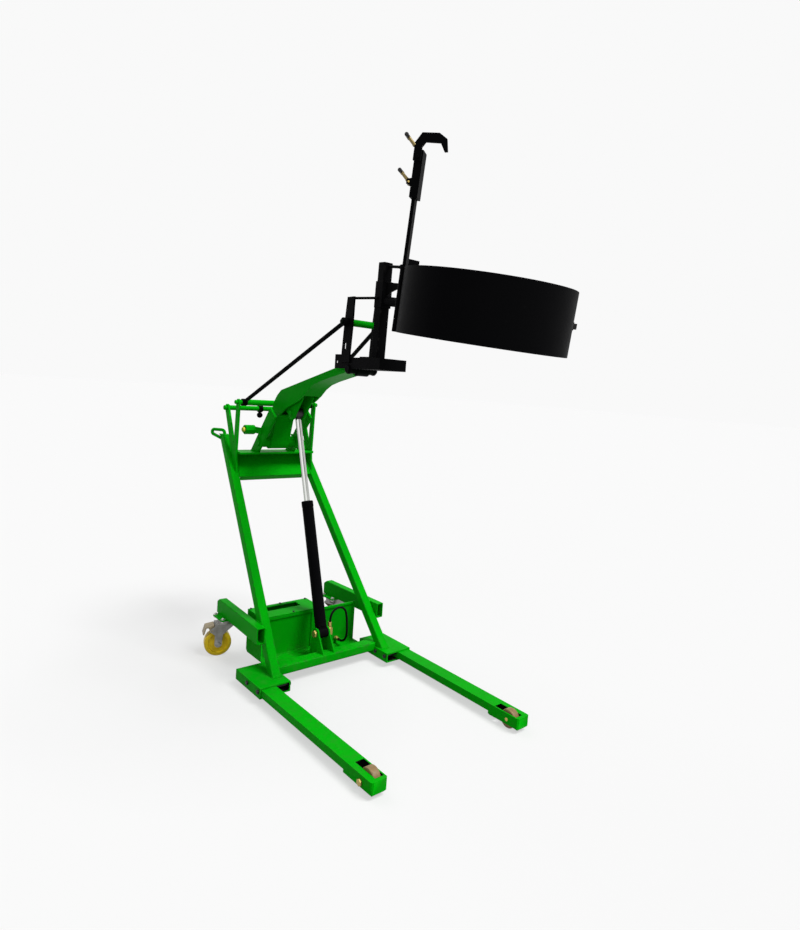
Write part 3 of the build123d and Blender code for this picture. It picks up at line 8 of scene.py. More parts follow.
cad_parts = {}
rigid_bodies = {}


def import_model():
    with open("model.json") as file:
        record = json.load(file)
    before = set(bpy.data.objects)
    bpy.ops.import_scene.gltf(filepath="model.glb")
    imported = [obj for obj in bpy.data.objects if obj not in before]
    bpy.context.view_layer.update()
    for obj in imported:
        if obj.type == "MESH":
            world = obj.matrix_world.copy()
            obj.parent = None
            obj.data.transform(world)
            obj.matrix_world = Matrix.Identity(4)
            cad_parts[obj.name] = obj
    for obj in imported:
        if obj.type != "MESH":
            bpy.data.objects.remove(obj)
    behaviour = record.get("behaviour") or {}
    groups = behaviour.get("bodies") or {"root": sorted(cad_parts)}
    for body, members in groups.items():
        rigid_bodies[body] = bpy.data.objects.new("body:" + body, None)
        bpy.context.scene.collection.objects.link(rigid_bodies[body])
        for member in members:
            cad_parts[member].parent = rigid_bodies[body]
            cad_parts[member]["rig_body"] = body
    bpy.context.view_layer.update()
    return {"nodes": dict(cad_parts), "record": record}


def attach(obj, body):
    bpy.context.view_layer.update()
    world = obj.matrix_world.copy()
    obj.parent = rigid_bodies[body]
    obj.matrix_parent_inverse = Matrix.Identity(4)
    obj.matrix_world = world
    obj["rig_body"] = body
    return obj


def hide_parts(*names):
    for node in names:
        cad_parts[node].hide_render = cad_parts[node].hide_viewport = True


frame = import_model()
nodes = frame["nodes"]
slot_of = {row["node"]: row["material_slot"] for row in frame["record"]["subparts"]}
MM = 0.001


def mm(x, y, z):
    """A place given in millimetres."""
    return Vector((x, y, z)) * MM


# Camera, fitted to the photograph: its picture in pixels, its place in metres
photo_wide = 800.0
photo_high = 930.0
focal_length = 645.99
middle_across = 425.38
middle_down = 440.11
sensor = 36.0
camera_place = (-1.6349, -2.2506, 1.3472)
yaw = radians(41.46)
pitch = radians(-4.68)
roll = radians(-4.0)
sideways = Vector((cos(yaw), -sin(yaw), 0))
ahead = Vector((sin(yaw) * cos(pitch), cos(yaw) * cos(pitch), sin(pitch)))
downward = ahead.cross(sideways)
across = sideways * cos(roll) + downward * sin(roll)
plumb = downward * cos(roll) - sideways * sin(roll)
camera_data = bpy.data.cameras.new("camera")
camera_data.sensor_width = sensor
camera_data.lens = focal_length * sensor / photo_high
camera_data.shift_x = (photo_wide / 2 - middle_across) / photo_high
camera_data.shift_y = (middle_down - photo_high / 2) / photo_high
camera = bpy.data.objects.new("camera", camera_data)
facing = Matrix((across, -plumb, -ahead)).transposed().to_4x4()
camera.matrix_world = Matrix.Translation(camera_place) @ facing
bpy.context.scene.collection.objects.link(camera)
bpy.context.scene.camera = camera
bpy.context.scene.view_settings.view_transform = "Standard"


class Reading:
    """An output of a node that can be calculated with."""

    def __init__(self, graph, socket):
        self.graph = graph
        self.socket = socket

    def math(self, operation, first, second):
        return self.graph.node("ShaderNodeMath", {"operation": operation}, {0: first, 1: second})

    def __add__(self, other):
        return self.math("ADD", self, other)

    def __radd__(self, other):
        return self.math("ADD", other, self)

    def __sub__(self, other):
        return self.math("SUBTRACT", self, other)

    def __rsub__(self, other):
        return self.math("SUBTRACT", other, self)

    def __mul__(self, other):
        return self.math("MULTIPLY", self, other)

    def __rmul__(self, other):
        return self.math("MULTIPLY", other, self)

    def __or__(self, other):
        return self.math("MAXIMUM", self, other)

    def __ror__(self, other):
        return self.math("MAXIMUM", other, self)

    def over(self, low, high):
        """0 below low, 1 above high and smooth between them."""
        return self.graph.node(
            "ShaderNodeMapRange",
            {"interpolation_type": "SMOOTHSTEP"},
            {"Value": self, "From Min": low, "From Max": high},
        )


class Graph:
    """A node tree that is filled by one method."""

    def __init__(self, tree):
        self.tree = tree
        tree.nodes.clear()

    def node(self, kind, settings=None, sockets=None, out=0):
        """Adds a node, sets it, feeds its sockets and gives one of its outputs."""
        made = self.tree.nodes.new(kind)
        for key, value in (settings or {}).items():
            setattr(made, key, value)
        for key, value in (sockets or {}).items():
            for fed in value if isinstance(value, list) else [value]:
                if isinstance(fed, Reading):
                    self.tree.links.new(fed.socket, made.inputs[key])
                else:
                    made.inputs[key].default_value = fed
        return Reading(self, made.outputs[out]) if len(made.outputs) else None


class Finish(Graph):
    """A material in Object coordinates."""

    def __init__(self, name):
        self.material = bpy.data.materials.new(name)
        self.material.use_nodes = True
        super().__init__(self.material.node_tree)
        self.place = self.node("ShaderNodeTexCoord", out="Object")

    def cloud(self, scale, detail=2.0, rough=0.5, place=None):
        """Soft noise of a number of blotches to the metre."""
        return self.node(
            "ShaderNodeTexNoise",
            None,
            {"Vector": place or self.place, "Scale": scale, "Detail": detail, "Roughness": rough},
        )

    def stretched(self, x, y, z):
        """The place with each axis drawn out by its own share."""
        return self.node("ShaderNodeMapping", None, {"Vector": self.place, "Scale": (x, y, z)})

    def blend(self, share, first, second):
        """One colour going into another."""
        ends = [c if isinstance(c, Reading) else (*c, 1.0) for c in (first, second)]
        sockets = {0: share, 6: ends[0], 7: ends[1]}
        return self.node("ShaderNodeMix", {"data_type": "RGBA"}, sockets, out=2)

    def edge(self):
        """1 on the bevels along a piece's edges."""
        return self.node("ShaderNodeAttribute", {"attribute_name": "edge"}, out="Fac")

    def along(self, axis):
        """The place along one axis in metres."""
        return self.node("ShaderNodeSeparateXYZ", None, {0: self.place}, out=axis)

    def reach(self, axis):
        """How far out the place is along one axis, on either side."""
        return self.node("ShaderNodeMath", {"operation": "ABSOLUTE"}, {0: self.along(axis)})

    def inside(self, **spans):
        """1 inside a box and its mirror image in X, given in millimetres by axis."""
        fade = 0.6
        share = 1.0
        for axis, (low, high) in spans.items():
            spot = self.reach(axis) if axis == "X" else self.along(axis)
            share = share * spot.over((low - fade) * MM, low * MM)
            share = share * (1.0 - spot.over(high * MM, (high + fade) * MM))
        return share

    def bump(self, height, depth, strength):
        """A surface that rises and falls by a depth in metres."""
        sockets = {"Height": height, "Distance": depth, "Strength": strength}
        return self.node("ShaderNodeBump", None, sockets)

    def close(self, **sockets):
        """Ends the material in one surface shader."""
        named = {key.replace("_", " "): value for key, value in sockets.items()}
        shader = self.node("ShaderNodeBsdfPrincipled", None, named)
        self.node("ShaderNodeOutputMaterial", None, {"Surface": shader})
        return self.material


# Finishes, with their heights in metres
green = (0.001, 0.40, 0.003)
deep_green = (0.001, 0.32, 0.004)
bare_green = (0.02, 0.11, 0.02)
green_gleam = (0.10, 0.85, 0.12)
black = (0.002, 0.002, 0.0024)
soft_black = (0.0036, 0.0036, 0.004)
bare_black = (0.020, 0.019, 0.018)
black_gleam = (0.5, 0.5, 0.55)
floor_dust = (0.10, 0.095, 0.07)
paint_shine = 0.02
dust_low = 0.02
dust_high = 0.22
# Above this height the piston rod's eye is painted black: painted shade, not the chrome's own colour
eye_shade_low = 1.146
eye_shade_high = 1.147


def enamel(name, colour, deep, bare, gleam, rough, wear, dark=None):
    """Sprayed paint with orange peel, floor dust, edges rubbed thin and, if asked, black places, which
    are painted shade where they lie in pockets.
    """
    f = Finish(name)
    broad = f.cloud(2.6, 4.0)
    mottle = f.cloud(34.0, 3.0)
    peel = f.cloud(430.0, 1.0)
    chips = f.cloud(88.0, 3.0, 0.65).over(0.70, 0.75)
    rubbed = f.edge() * f.cloud(46.0, 4.0, 0.62).over(0.46, 0.62)
    worn = (rubbed * 0.8 + chips * 0.5) * wear
    dust = (1.0 - f.along("Z").over(dust_low, dust_high)) * mottle.over(0.42, 0.74)
    shade = f.blend(broad.over(0.3, 0.72), colour, deep)
    shade = f.blend(mottle.over(0.35, 0.9) * 0.35, shade, deep)
    # Black places: in the leg and socket pockets these are painted shade
    if dark:
        shade = f.blend(dark(f), shade, black)
    shade = f.blend(worn, shade, bare)
    shade = f.blend(dust * 0.12, shade, floor_dust)
    return f.close(
        Base_Color=shade,
        Roughness=rough + mottle * 0.12 + dust * 0.2 + worn * 0.15,
        Metallic=worn * 0.4,
        Specular_IOR_Level=paint_shine,
        Specular_Tint=(*gleam, 1.0),
        Normal=f.bump(peel + mottle * 0.6 - worn * 0.8, 0.0002, 0.5),
    )


def plating(name, colour, tint, rough):
    """Zinc plate with a fine spangle and tarnished hollows."""
    f = Finish(name)
    cells = f.node("ShaderNodeTexVoronoi", None, {"Vector": f.place, "Scale": 240.0}, out="Color")
    spangle = f.node("ShaderNodeSeparateColor", None, {0: cells})
    tarnish = f.cloud(26.0, 5.0, 0.6)
    scratch = f.cloud(150.0, 2.0, 0.5, f.stretched(0.15, 1.0, 1.0))
    shade = f.blend(tarnish.over(0.35, 0.75), colour, tint)
    shade = f.blend(spangle * 0.25, shade, tuple(c * 0.72 for c in colour))
    return f.close(
        Base_Color=shade,
        Metallic=1.0,
        Roughness=rough + tarnish * 0.18 + spangle * 0.08 - f.edge() * 0.1,
        Normal=f.bump(scratch + spangle * 0.4, 0.0001, 0.35),
    )


def polished(name, colour, rough):
    """Hard chrome with a thin smear of oil and faint draw lines, black on the eye as painted shade for
    the dark gap between the boom and the cylinder's top.
    """
    f = Finish(name)
    smear = f.cloud(18.0, 4.0, 0.6, f.stretched(1.0, 1.0, 0.3))
    lines = f.cloud(900.0, 1.0, 0.5, f.stretched(0.1, 0.1, 1.0))
    # Painted shade: the eye turns black and loses its metal
    eye = f.along("Z").over(eye_shade_low, eye_shade_high)
    shade = f.blend(smear.over(0.45, 0.8) * 0.4, colour, tuple(c * 0.8 for c in colour))
    return f.close(
        Base_Color=f.blend(eye, shade, black),
        Metallic=1.0 - eye,
        Roughness=rough + smear.over(0.4, 0.8) * 0.1 + eye * 0.4,
        Normal=f.bump(lines, 0.00002, 0.4),
    )


def cast_urethane(name, colour, deep, scuff, rough):
    """A cast tread, cloudy inside and scuffed where it rolls."""
    f = Finish(name)
    milky = f.cloud(16.0, 3.0)
    scuffs = f.cloud(70.0, 5.0, 0.65).over(0.52, 0.72)
    grit = f.cloud(420.0, 2.0)
    shade = f.blend(milky.over(0.3, 0.75), colour, deep)
    shade = f.blend(scuffs * 0.4, shade, scuff)
    return f.close(
        Base_Color=shade,
        Roughness=rough + scuffs * 0.25,
        Specular_IOR_Level=0.3,
        Normal=f.bump(grit + scuffs * 0.6, 0.00025, 0.5),
    )


def rubber(name, colour, grey, rough, grain):
    """Black rubber with a fine grain and a chalky bloom."""
    f = Finish(name)
    bloom = f.cloud(22.0, 5.0, 0.6)
    skin = f.cloud(grain, 2.0)
    shade = f.blend(bloom.over(0.45, 0.85) * 0.7, colour, grey)
    return f.close(
        Base_Color=shade,
        Roughness=rough + bloom * 0.15,
        Specular_IOR_Level=0.06,
        Normal=f.bump(skin, 0.0002, 0.6),
    )


def moulded(name, colour, deep, rough):
    """Moulded plastic with a spark-eroded grain."""
    f = Finish(name)
    broad = f.cloud(30.0, 3.0)
    grain = f.cloud(1100.0, 2.0)
    shade = f.blend(broad.over(0.3, 0.8) * 0.6, colour, deep)
    shade = f.blend(f.edge() * 0.25, shade, tuple(min(1.0, c * 1.5 + 0.01) for c in colour))
    return f.close(
        Base_Color=shade,
        Roughness=rough + broad * 0.12,
        Specular_IOR_Level=0.3,
        Normal=f.bump(grain, 0.00012, 0.6),
    )


def cast_iron(name, colour, deep, rough):
    """Sand-cast metal under thin grey paint."""
    f = Finish(name)
    sand = f.cloud(300.0, 4.0, 0.6)
    stain = f.cloud(14.0, 4.0)
    shade = f.blend(stain.over(0.35, 0.75), colour, deep)
    return f.close(
        Base_Color=shade,
        Metallic=0.35,
        Roughness=rough + sand * 0.2,
        Normal=f.bump(sand, 0.0006, 0.7),
    )


def green_enamel(name, dark=None):
    """The frame's green paint, black in the places asked for."""
    return enamel(name, green, deep_green, bare_green, green_gleam, 0.34, 0.7, dark)


finishes = {
    "green_paint": green_enamel("green_enamel"),
    "black_paint": enamel("black_enamel", black, soft_black, bare_black, black_gleam, 0.46, 0.6),
    "zinc_plate": plating("zinc_plating", (0.55, 0.55, 0.53), (0.40, 0.39, 0.36), 0.30),
    "yellow_zinc": plating("yellow_zinc_plating", (0.52, 0.38, 0.12), (0.33, 0.27, 0.10), 0.32),
    "chrome_rod": polished("rod_chrome", (0.50, 0.51, 0.49), 0.12),
    "black_rubber": rubber("liner_rubber", (0.006, 0.006, 0.0065), (0.016, 0.016, 0.017), 0.62, 620.0),
    "yellow_tread": cast_urethane(
        "tread_urethane", (0.88, 0.63, 0.011), (0.78, 0.54, 0.009), (0.34, 0.24, 0.02), 0.38,
    ),
    "tan_roller": cast_urethane(
        "roller_nylon", (0.30, 0.20, 0.09), (0.22, 0.14, 0.06), (0.09, 0.06, 0.035), 0.42,
    ),
    "yellow_plastic": moulded("button_plastic", (0.85, 0.70, 0.08), (0.78, 0.60, 0.06), 0.3),
    "battery_case": moulded("battery_plastic", (0.012, 0.012, 0.013), (0.008, 0.008, 0.009), 0.45),
    "grey_cast": cast_iron("pump_casting", (0.16, 0.16, 0.16), (0.10, 0.10, 0.105), 0.45),
}
hose_cover = rubber("hose_cover", (0.003, 0.003, 0.0035), (0.006, 0.006, 0.006), 0.56, 900.0)
fork_plating = plating("fork_plating", (0.26, 0.26, 0.25), (0.16, 0.155, 0.14), 0.36)
# Yellow zinc darkened for the rim lever stems: partly their olive tone, partly painted shade
stem_plating = plating("stem_plating", (0.22, 0.17, 0.07), (0.14, 0.11, 0.05), 0.36)
pedal_plating = plating("pedal_plating", (0.30, 0.25, 0.16), (0.20, 0.17, 0.12), 0.36)
bolt_black = plating("bolt_black_oxide", (0.030, 0.030, 0.032), bare_black, 0.38)
grip_plastic = moulded("grip_plastic", (0.006, 0.006, 0.0065), (0.004, 0.004, 0.0045), 0.4)

# Green pieces with black ends, given in metres, or black insides that are painted shade, given in
# millimetres
boom_tip_low = 0.0535
boom_tip_high = 0.0545
shaft_end_low = 0.0755
shaft_end_high = 0.0760
# Painted shade: the insides of the leg roller slots and of the socket openings are painted black where
# shade falls in them
roller_slot_shade = {"X": (331.7, 367.3), "Y": (-685.4, -571.6)}
socket_opening_shade = {"X": (263.0, 394.7), "Y": (61.5, 280.0), "Z": (30.0, 65.0)}
boom_enamel = green_enamel(
    "boom_enamel", lambda f: 1.0 - f.along("Y").over(boom_tip_low, boom_tip_high),
)
leg_enamel = green_enamel("leg_enamel", lambda f: f.inside(**roller_slot_shade))
socket_enamel = green_enamel("socket_enamel", lambda f: f.inside(**socket_opening_shade))
shaft_enamel = green_enamel("shaft_enamel", lambda f: f.reach("X").over(shaft_end_low, shaft_end_high))


def finished(name, mesh, body, slot, finish=None, stands_for=()):
    """Makes a mesh a piece that rides on a body and stands for CAD nodes."""
    piece = bpy.data.objects.new(name, mesh)
    bpy.context.scene.collection.objects.link(piece)
    mesh.materials.clear()
    mesh.materials.append(finish or finishes[slot])
    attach(piece, body)
    if stands_for:
        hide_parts(*stands_for)
    return piece


def body_of(node):
    """The body that a CAD node belongs to."""
    return nodes[node]["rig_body"]


def cut_edges(shape, picked, width, steps, mark):
    """Bevels edges and marks the new faces as edge."""
    made = bmesh.ops.bevel(
        shape,
        geom=picked,
        offset=width,
        offset_type="OFFSET",
        segments=steps,
        profile=0.5,
        affect="EDGES",
        clamp_overlap=True,
        loop_slide=True,
        material=-1,
    )
    for face in made["faces"]:
        for corner in face.loops:
            corner[mark] = 1.0


def convex(shape, least_angle, least_length):
    """The outward edges that turn by more than an angle and are long enough."""
    return [
        e for e in shape.edges
        if e.is_manifold
        and e.calc_face_angle_signed() > radians(least_angle)
        and e.calc_length() > least_length
    ]


# Copies of CAD nodes
merge_distance = 0.00002
flat_angle = 0.3
bend_angle = 50
bend_length = 0.15
trim_angle = 40
wide_trim = 1.4
smooth_angle = 52


def dressed(node, bend=0.0, trim=1.0, finish=None, slot=None, name=None, part=None):
    """A copy of a CAD node, or of a part of it, with rolled long edges and broken sharp ones."""
    shape = bmesh.new()
    shape.from_mesh(nodes[node].data)
    mark = shape.loops.layers.float.new("edge")
    bmesh.ops.remove_doubles(shape, verts=shape.verts, dist=merge_distance)
    if part:
        bmesh.ops.delete(shape, geom=[v for v in shape.verts if not part(v.co)], context="VERTS")
    bmesh.ops.dissolve_limit(
        shape, angle_limit=radians(flat_angle), verts=shape.verts, edges=shape.edges,
    )
    if bend:
        cut_edges(shape, convex(shape, bend_angle, bend_length), bend * MM, 3, mark)
    if trim:
        steps = 2 if trim > wide_trim else 1
        cut_edges(shape, convex(shape, trim_angle, 0.0), trim * MM, steps, mark)
    mesh = bpy.data.meshes.new(name or node)
    bmesh.ops.triangulate(shape, faces=[f for f in shape.faces if len(f.verts) > 4])
    shape.to_mesh(mesh)
    shape.free()
    mesh.shade_smooth()
    mesh.set_sharp_from_angle(angle=radians(smooth_angle))
    piece_name = name or node + ".dressed"
    stands_for = () if name else (node,)
    piece = finished(piece_name, mesh, body_of(node), slot or slot_of[node], finish, stands_for)
    weights = piece.modifiers.new("even_shading", "WEIGHTED_NORMAL")
    weights.keep_sharp = True


def lathe(shape, profile, centre, axis, steps):
    """Turns a closed profile of (along, radius) round an axis."""
    axis = Vector(axis).normalized()
    first = axis.orthogonal().normalized()
    second = axis.cross(first)
    rings = []
    for step in range(steps):
        turn = 2 * pi * step / steps
        outward = first * cos(turn) + second * sin(turn)
        spots = [centre + axis * (a * MM) + outward * (r * MM) for a, r in profile]
        rings.append([shape.verts.new(spot) for spot in spots])
    for step in range(steps):
        here, there = rings[step], rings[(step + 1) % steps]
        for k in range(len(profile)):
            n = (k + 1) % len(profile)
            shape.faces.new((here[k], here[n], there[n], there[k]))


def mirrored(half):
    """A closed profile from one half of it, which starts in the middle."""
    return half + [(-a, r) for a, r in reversed(half)][:-1]


def closed_mesh(name, shape, smooth=40):
    """A mesh of a closed shape, with its faces turned outwards and its edges shaded by angle."""
    bmesh.ops.recalc_face_normals(shape, faces=shape.faces)
    mesh = bpy.data.meshes.new(name)
    shape.to_mesh(mesh)
    shape.free()
    mesh.shade_smooth()
    mesh.set_sharp_from_angle(angle=radians(smooth))
    return mesh


# Hose and its crimped ends
hose_radius = 5.4
port_face = (152.0, 340.5, 75.0)
hose_route = (
    (43.0, 240.0, 188.0),
    (43.0, 240.0, 224.0),
    (56.0, 240.5, 259.0),
    (92.0, 241.5, 275.0),
    (128.0, 243.0, 259.0),
    (142.0, 244.5, 222.0),
    (148.0, 246.0, 166.0),
    (152.0, 249.0, 112.0),
    (152.0, 279.0, 77.0),
    (152.0, 326.0, 75.0),
    (152.0, 342.0, 75.0),
)
hose_curve = bpy.data.curves.new("hose", "CURVE")
hose_curve.dimensions = "3D"
hose_line = hose_curve.splines.new("NURBS")
hose_line.points.add(len(hose_route) - 1)
for point, spot in zip(hose_line.points, hose_route):
    point.co = (*mm(*spot), 1.0)
hose_line.order_u = 3
hose_line.use_endpoint_u = True
hose_line.resolution_u = 16
hose_curve.bevel_depth = hose_radius * MM
hose_curve.bevel_resolution = 6
hose_curve.use_fill_caps = True
hose_curve.materials.append(hose_cover)
hose = bpy.data.objects.new("hose", hose_curve)
bpy.context.scene.collection.objects.link(hose)
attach(hose, "chassis")
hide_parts("hydraulic_hose")

ferrule_steps = 24
sleeve_profile = [
    (-1.0, 5.5), (-1.0, 9.6), (3.0, 9.6), (3.6, 8.2), (5.6, 8.2), (6.2, 9.0),
    (9.6, 9.0), (10.1, 8.3), (11.4, 8.3), (11.9, 9.0), (15.4, 9.0), (15.9, 8.3),
    (17.2, 8.3), (17.7, 8.9), (21.0, 8.9), (22.6, 8.0), (22.6, 5.5),
]
ferrule = bmesh.new()
lathe(ferrule, sleeve_profile, mm(*hose_route[0]), (0, 0, 1), ferrule_steps)
lathe(ferrule, sleeve_profile, mm(*port_face), (0, -1, 0), ferrule_steps)
finished("hose_ferrules", closed_mesh("hose_ferrules", ferrule), "chassis", "yellow_zinc")

# Painted tubes with rolled corners
tube_trim = 0.7
for node, bend in (
    ("front_beam", 6.0), ("right_column", 6.0), ("left_column", 6.0), ("right_rear_arm", 4.0),
    ("left_rear_arm", 4.0), ("head_column", 5.0),
):
    dressed(node, bend, tube_trim)

# Plates, castings and machined pieces
for node, trim in (
    ("top_crossmember", 2.0), ("right_ear", 1.5), ("left_ear", 1.5), ("boom_cheeks", 1.5),
    ("pump_box", 1.5), ("box_lid", 1.5), ("cylinder_foot", 1.2), ("control_body", 1.5),
    ("caster_plates", 1.2), ("head_bracket", 1.5), ("head_uprights", 1.0), ("pivot_housing", 1.5),
    ("clamp_hub", 1.2), ("clamp_saddle", 1.2), ("gate_jaw", 1.2), ("rim_carriage", 1.5),
    ("rim_beak", 1.5), ("hose_port", 1.0), ("battery", 2.0), ("power_pack", 2.0),
    ("rear_shaft", 0.0), ("tie_shaft", 1.2), ("boom_pivot_pin", 1.2), ("head_pin", 1.2),
    ("push_handles", 0.0), ("cylinder_barrel", 1.2), ("cylinder_gland", 0.6), ("piston_rod", 1.0),
    ("right_tie_rod", 1.0), ("left_tie_rod", 1.0), ("lowering_lever", 0.8), ("lock_pin", 0.6),
    ("rim_lock_lever", 0.6), ("control_button", 0.6),
):
    dressed(node, 0.0, trim)

# Pieces with a finish of their own
dressed("boom_arm", trim=2.0, finish=boom_enamel)
dressed("link_shaft", trim=1.0, finish=shaft_enamel)
dressed("latch_lever", trim=0.6, finish=bolt_black)
dressed("latch_hook", trim=0.8, finish=bolt_black)
for hand in ("right", "left"):
    dressed(hand + "_leg", 5.0, tube_trim, leg_enamel)
    dressed(hand + "_leg_socket", trim=2.0, finish=socket_enamel)
    dressed(hand + "_caster_fork", trim=0.8, finish=fork_plating)
    dressed(hand + "_caster_brake", trim=0.5, finish=pedal_plating)


def leg_bolt(place):
    """Whether a place on the chassis bolts is on one that clamps a leg."""
    foot_pin_reach = 0.2
    return place.y > 0 and abs(place.x) > foot_pin_reach


dressed("chassis_bolts", part=lambda place: not leg_bolt(place))
dressed("chassis_bolts", 0.0, 1.0, bolt_black, "black_paint", "leg_bolts", leg_bolt)


def arc_points(centre, radius, start, end, count):
    """Points of a rounded corner in a lathe's profile."""
    turns = [start + (end - start) * k / count for k in range(count + 1)]
    return [(centre[0] + radius * cos(radians(t)), centre[1] + radius * sin(radians(t))) for t in turns]


# Caster wheels and leg rollers
arm_x = 305.636
caster_y = 612.0
caster_angle = 72.0
caster_trail = 34
wheel_radius = 62.5
wheel_steps = 96
wheel_half = [
    (0, wheel_radius), *arc_points((16.5, 54), 8.5, 90, 0, 6), (25, 46), (23.2, 44.6), (19.5, 43.4),
    (18, 42), (18, 24), (19.5, 21), (28, 18), (28, 14.2), (26.8, 13.6), (26.8, 6.4),
]
roller_x = 349.5
roller_y = -640
roller_radius = 38
roller_steps = 80
roller_half = [
    (0, roller_radius), *arc_points((12.6, 34.6), 3.4, 90, 0, 4), (16, 17), (14.6, 16), (14.6, 8.05),
]
for side, hand in ((-1, "right"), (1, "left")):
    turn = radians(-side * caster_angle)
    rolling = Vector((-sin(turn), cos(turn), 0))
    axle = Vector((cos(turn), sin(turn), 0))
    middle = mm(side * arm_x, caster_y, wheel_radius) + rolling * (caster_trail * MM)
    shape = bmesh.new()
    lathe(shape, mirrored(wheel_half), middle, axle, wheel_steps)
    tread = closed_mesh("tread", shape)
    stands_for = (hand + "_caster_wheel",)
    finished(hand + "_wheel_tread", tread, hand + "_wheel", "yellow_tread", None, stands_for)

    shape = bmesh.new()
    spot = mm(side * roller_x, roller_y, roller_radius)
    lathe(shape, mirrored(roller_half), spot, (1, 0, 0), roller_steps)
    roller = closed_mesh("roller", shape)
    stands_for = (hand + "_roller",)
    finished(hand + "_roller_body", roller, hand + "_roller", "tan_roller", None, stands_for)

# Ribbed rubber liners
ring_middle = mm(0, -669, 1617)
ring_tilt = radians(7.0)
ring_axis = Vector((0, -sin(ring_tilt), cos(ring_tilt)))
ring_back = Vector((0, cos(ring_tilt), sin(ring_tilt)))
band_outer = 300.5
liner_outer = 294.4
liner_half = 109.8
liner_steps = 110
liner_sweep = 177.5
rib_count = 13
rib_root = 292.3
rib_edge = 290.7
rib_crown = 290.6


def ring_place(x, y, z):
    """A place in the clamp ring's own frame, in millimetres."""
    return ring_middle + mm(x, 0, 0) + ring_back * (y * MM) + ring_axis * (z * MM)


def ring_spot(radius, azimuth, height):
    """A place given round the clamp's axis, in millimetres and degrees."""
    return ring_place(radius * cos(radians(azimuth)), radius * sin(radians(azimuth)), height)


def liner(name, start, body, node):
    """A rubber strip with ribs round its inner face."""
    section = [(liner_outer, liner_half), (liner_outer, -liner_half)]
    rib_pitch = 2 * liner_half / rib_count
    for k in range(rib_count):
        low = -liner_half + k * rib_pitch
        section += [
            (rib_root, low + 0.2),
            (rib_edge, low + 1.4),
            (rib_crown, low + rib_pitch / 2),
            (rib_edge, low + rib_pitch - 3.4),
            (rib_root, low + rib_pitch - 2.2),
        ]
    shape = bmesh.new()
    rows = []
    for k in range(liner_steps + 1):
        azimuth = start + liner_sweep * k / liner_steps
        rows.append([shape.verts.new(ring_spot(r, azimuth, h)) for r, h in section])
    for here, there in zip(rows, rows[1:]):
        for k in range(len(section)):
            n = (k + 1) % len(section)
            shape.faces.new((here[k], here[n], there[n], there[k]))
    shape.faces.new(rows[0])
    shape.faces.new(rows[-1])
    finished(name, closed_mesh(name, shape, 35), body, "black_rubber", None, (node,))


liner("saddle_rubber", -37.45, "clamp", "saddle_liner")
liner("gate_rubber", 143.95, "gate", "gate_liner")

# Stems and grips of the two rim levers
rim_azimuth = 129.0
lever_rise = (34.0, 32.0)
lever_steps = 20


def rim_place(out, height, aside):
    """A place beside the rim post: out from the band, up its axis and along the band."""
    outward = Vector((1, 0, 0)) * cos(radians(rim_azimuth)) + ring_back * sin(radians(rim_azimuth))
    return ring_spot(band_outer + out, rim_azimuth, height) + outward.cross(ring_axis) * (aside * MM)


stem_profile = [(7.0, 4.6), (7.0, 6.6), (9.0, 7.0), (13.0, 7.0), (15.0, 6.0), (40.0, 5.5), (41.0, 4.6)]
grip_half = [
    (0, 6.6), (7, 6.6), (7.6, 6.1), (8.4, 6.1), (9.0, 6.7), (15, 6.8), (15.6, 6.3),
    (16.4, 6.3), (17.0, 6.9), (22.5, 7.0), (24.6, 6.0), (25.2, 3.4), (25.3, 0.4),
]
for node, foot in (("rim_beak", (16.5, 504.0, -35.0)), ("rim_lock_lever", (32.5, 398.0, 0.0))):
    root = rim_place(*foot)
    tip = rim_place(foot[0] + lever_rise[0], foot[1] + lever_rise[1], foot[2])
    along_bar = rim_place(0, 0, 1) - rim_place(0, 0, 0)
    stem = bmesh.new()
    lathe(stem, stem_profile, root, tip - root, lever_steps)
    finished(node + "_stem", closed_mesh("stem", stem), body_of(node), "yellow_zinc", stem_plating)
    grip = bmesh.new()
    lathe(grip, mirrored(grip_half), tip, along_bar, lever_steps)
    grip_mesh = closed_mesh("grip", grip, 30)
    finished(node + "_grip", grip_mesh, body_of(node), "black_rubber", grip_plastic)

# Weld beads and plate bolts
weld_pitch = 0.004
ripple_shape = (0.8, 1.0, 1.0)
ripple_least = 0.86
ripple_most = 1.14
ripple_seed = 11


def node_group(name, inputs):
    """An empty Geometry Nodes tree with named inputs."""
    group = bpy.data.node_groups.new(name, "GeometryNodeTree")
    for label, kind in inputs:
        group.interface.new_socket(label, in_out="INPUT", socket_type="NodeSocket" + kind)
    group.interface.new_socket("Result", in_out="OUTPUT", socket_type="NodeSocketGeometry")
    return Graph(group)


def close_group(graph, made):
    """Ends a tree in real, painted geometry."""
    real = graph.node("GeometryNodeRealizeInstances", None, {"Geometry": made})
    finish = graph.node("NodeGroupInput", out="Finish")
    painted = graph.node("GeometryNodeSetMaterial", None, {"Geometry": real, "Material": finish})
    graph.node("NodeGroupOutput", None, {"Result": painted})
    return graph.tree


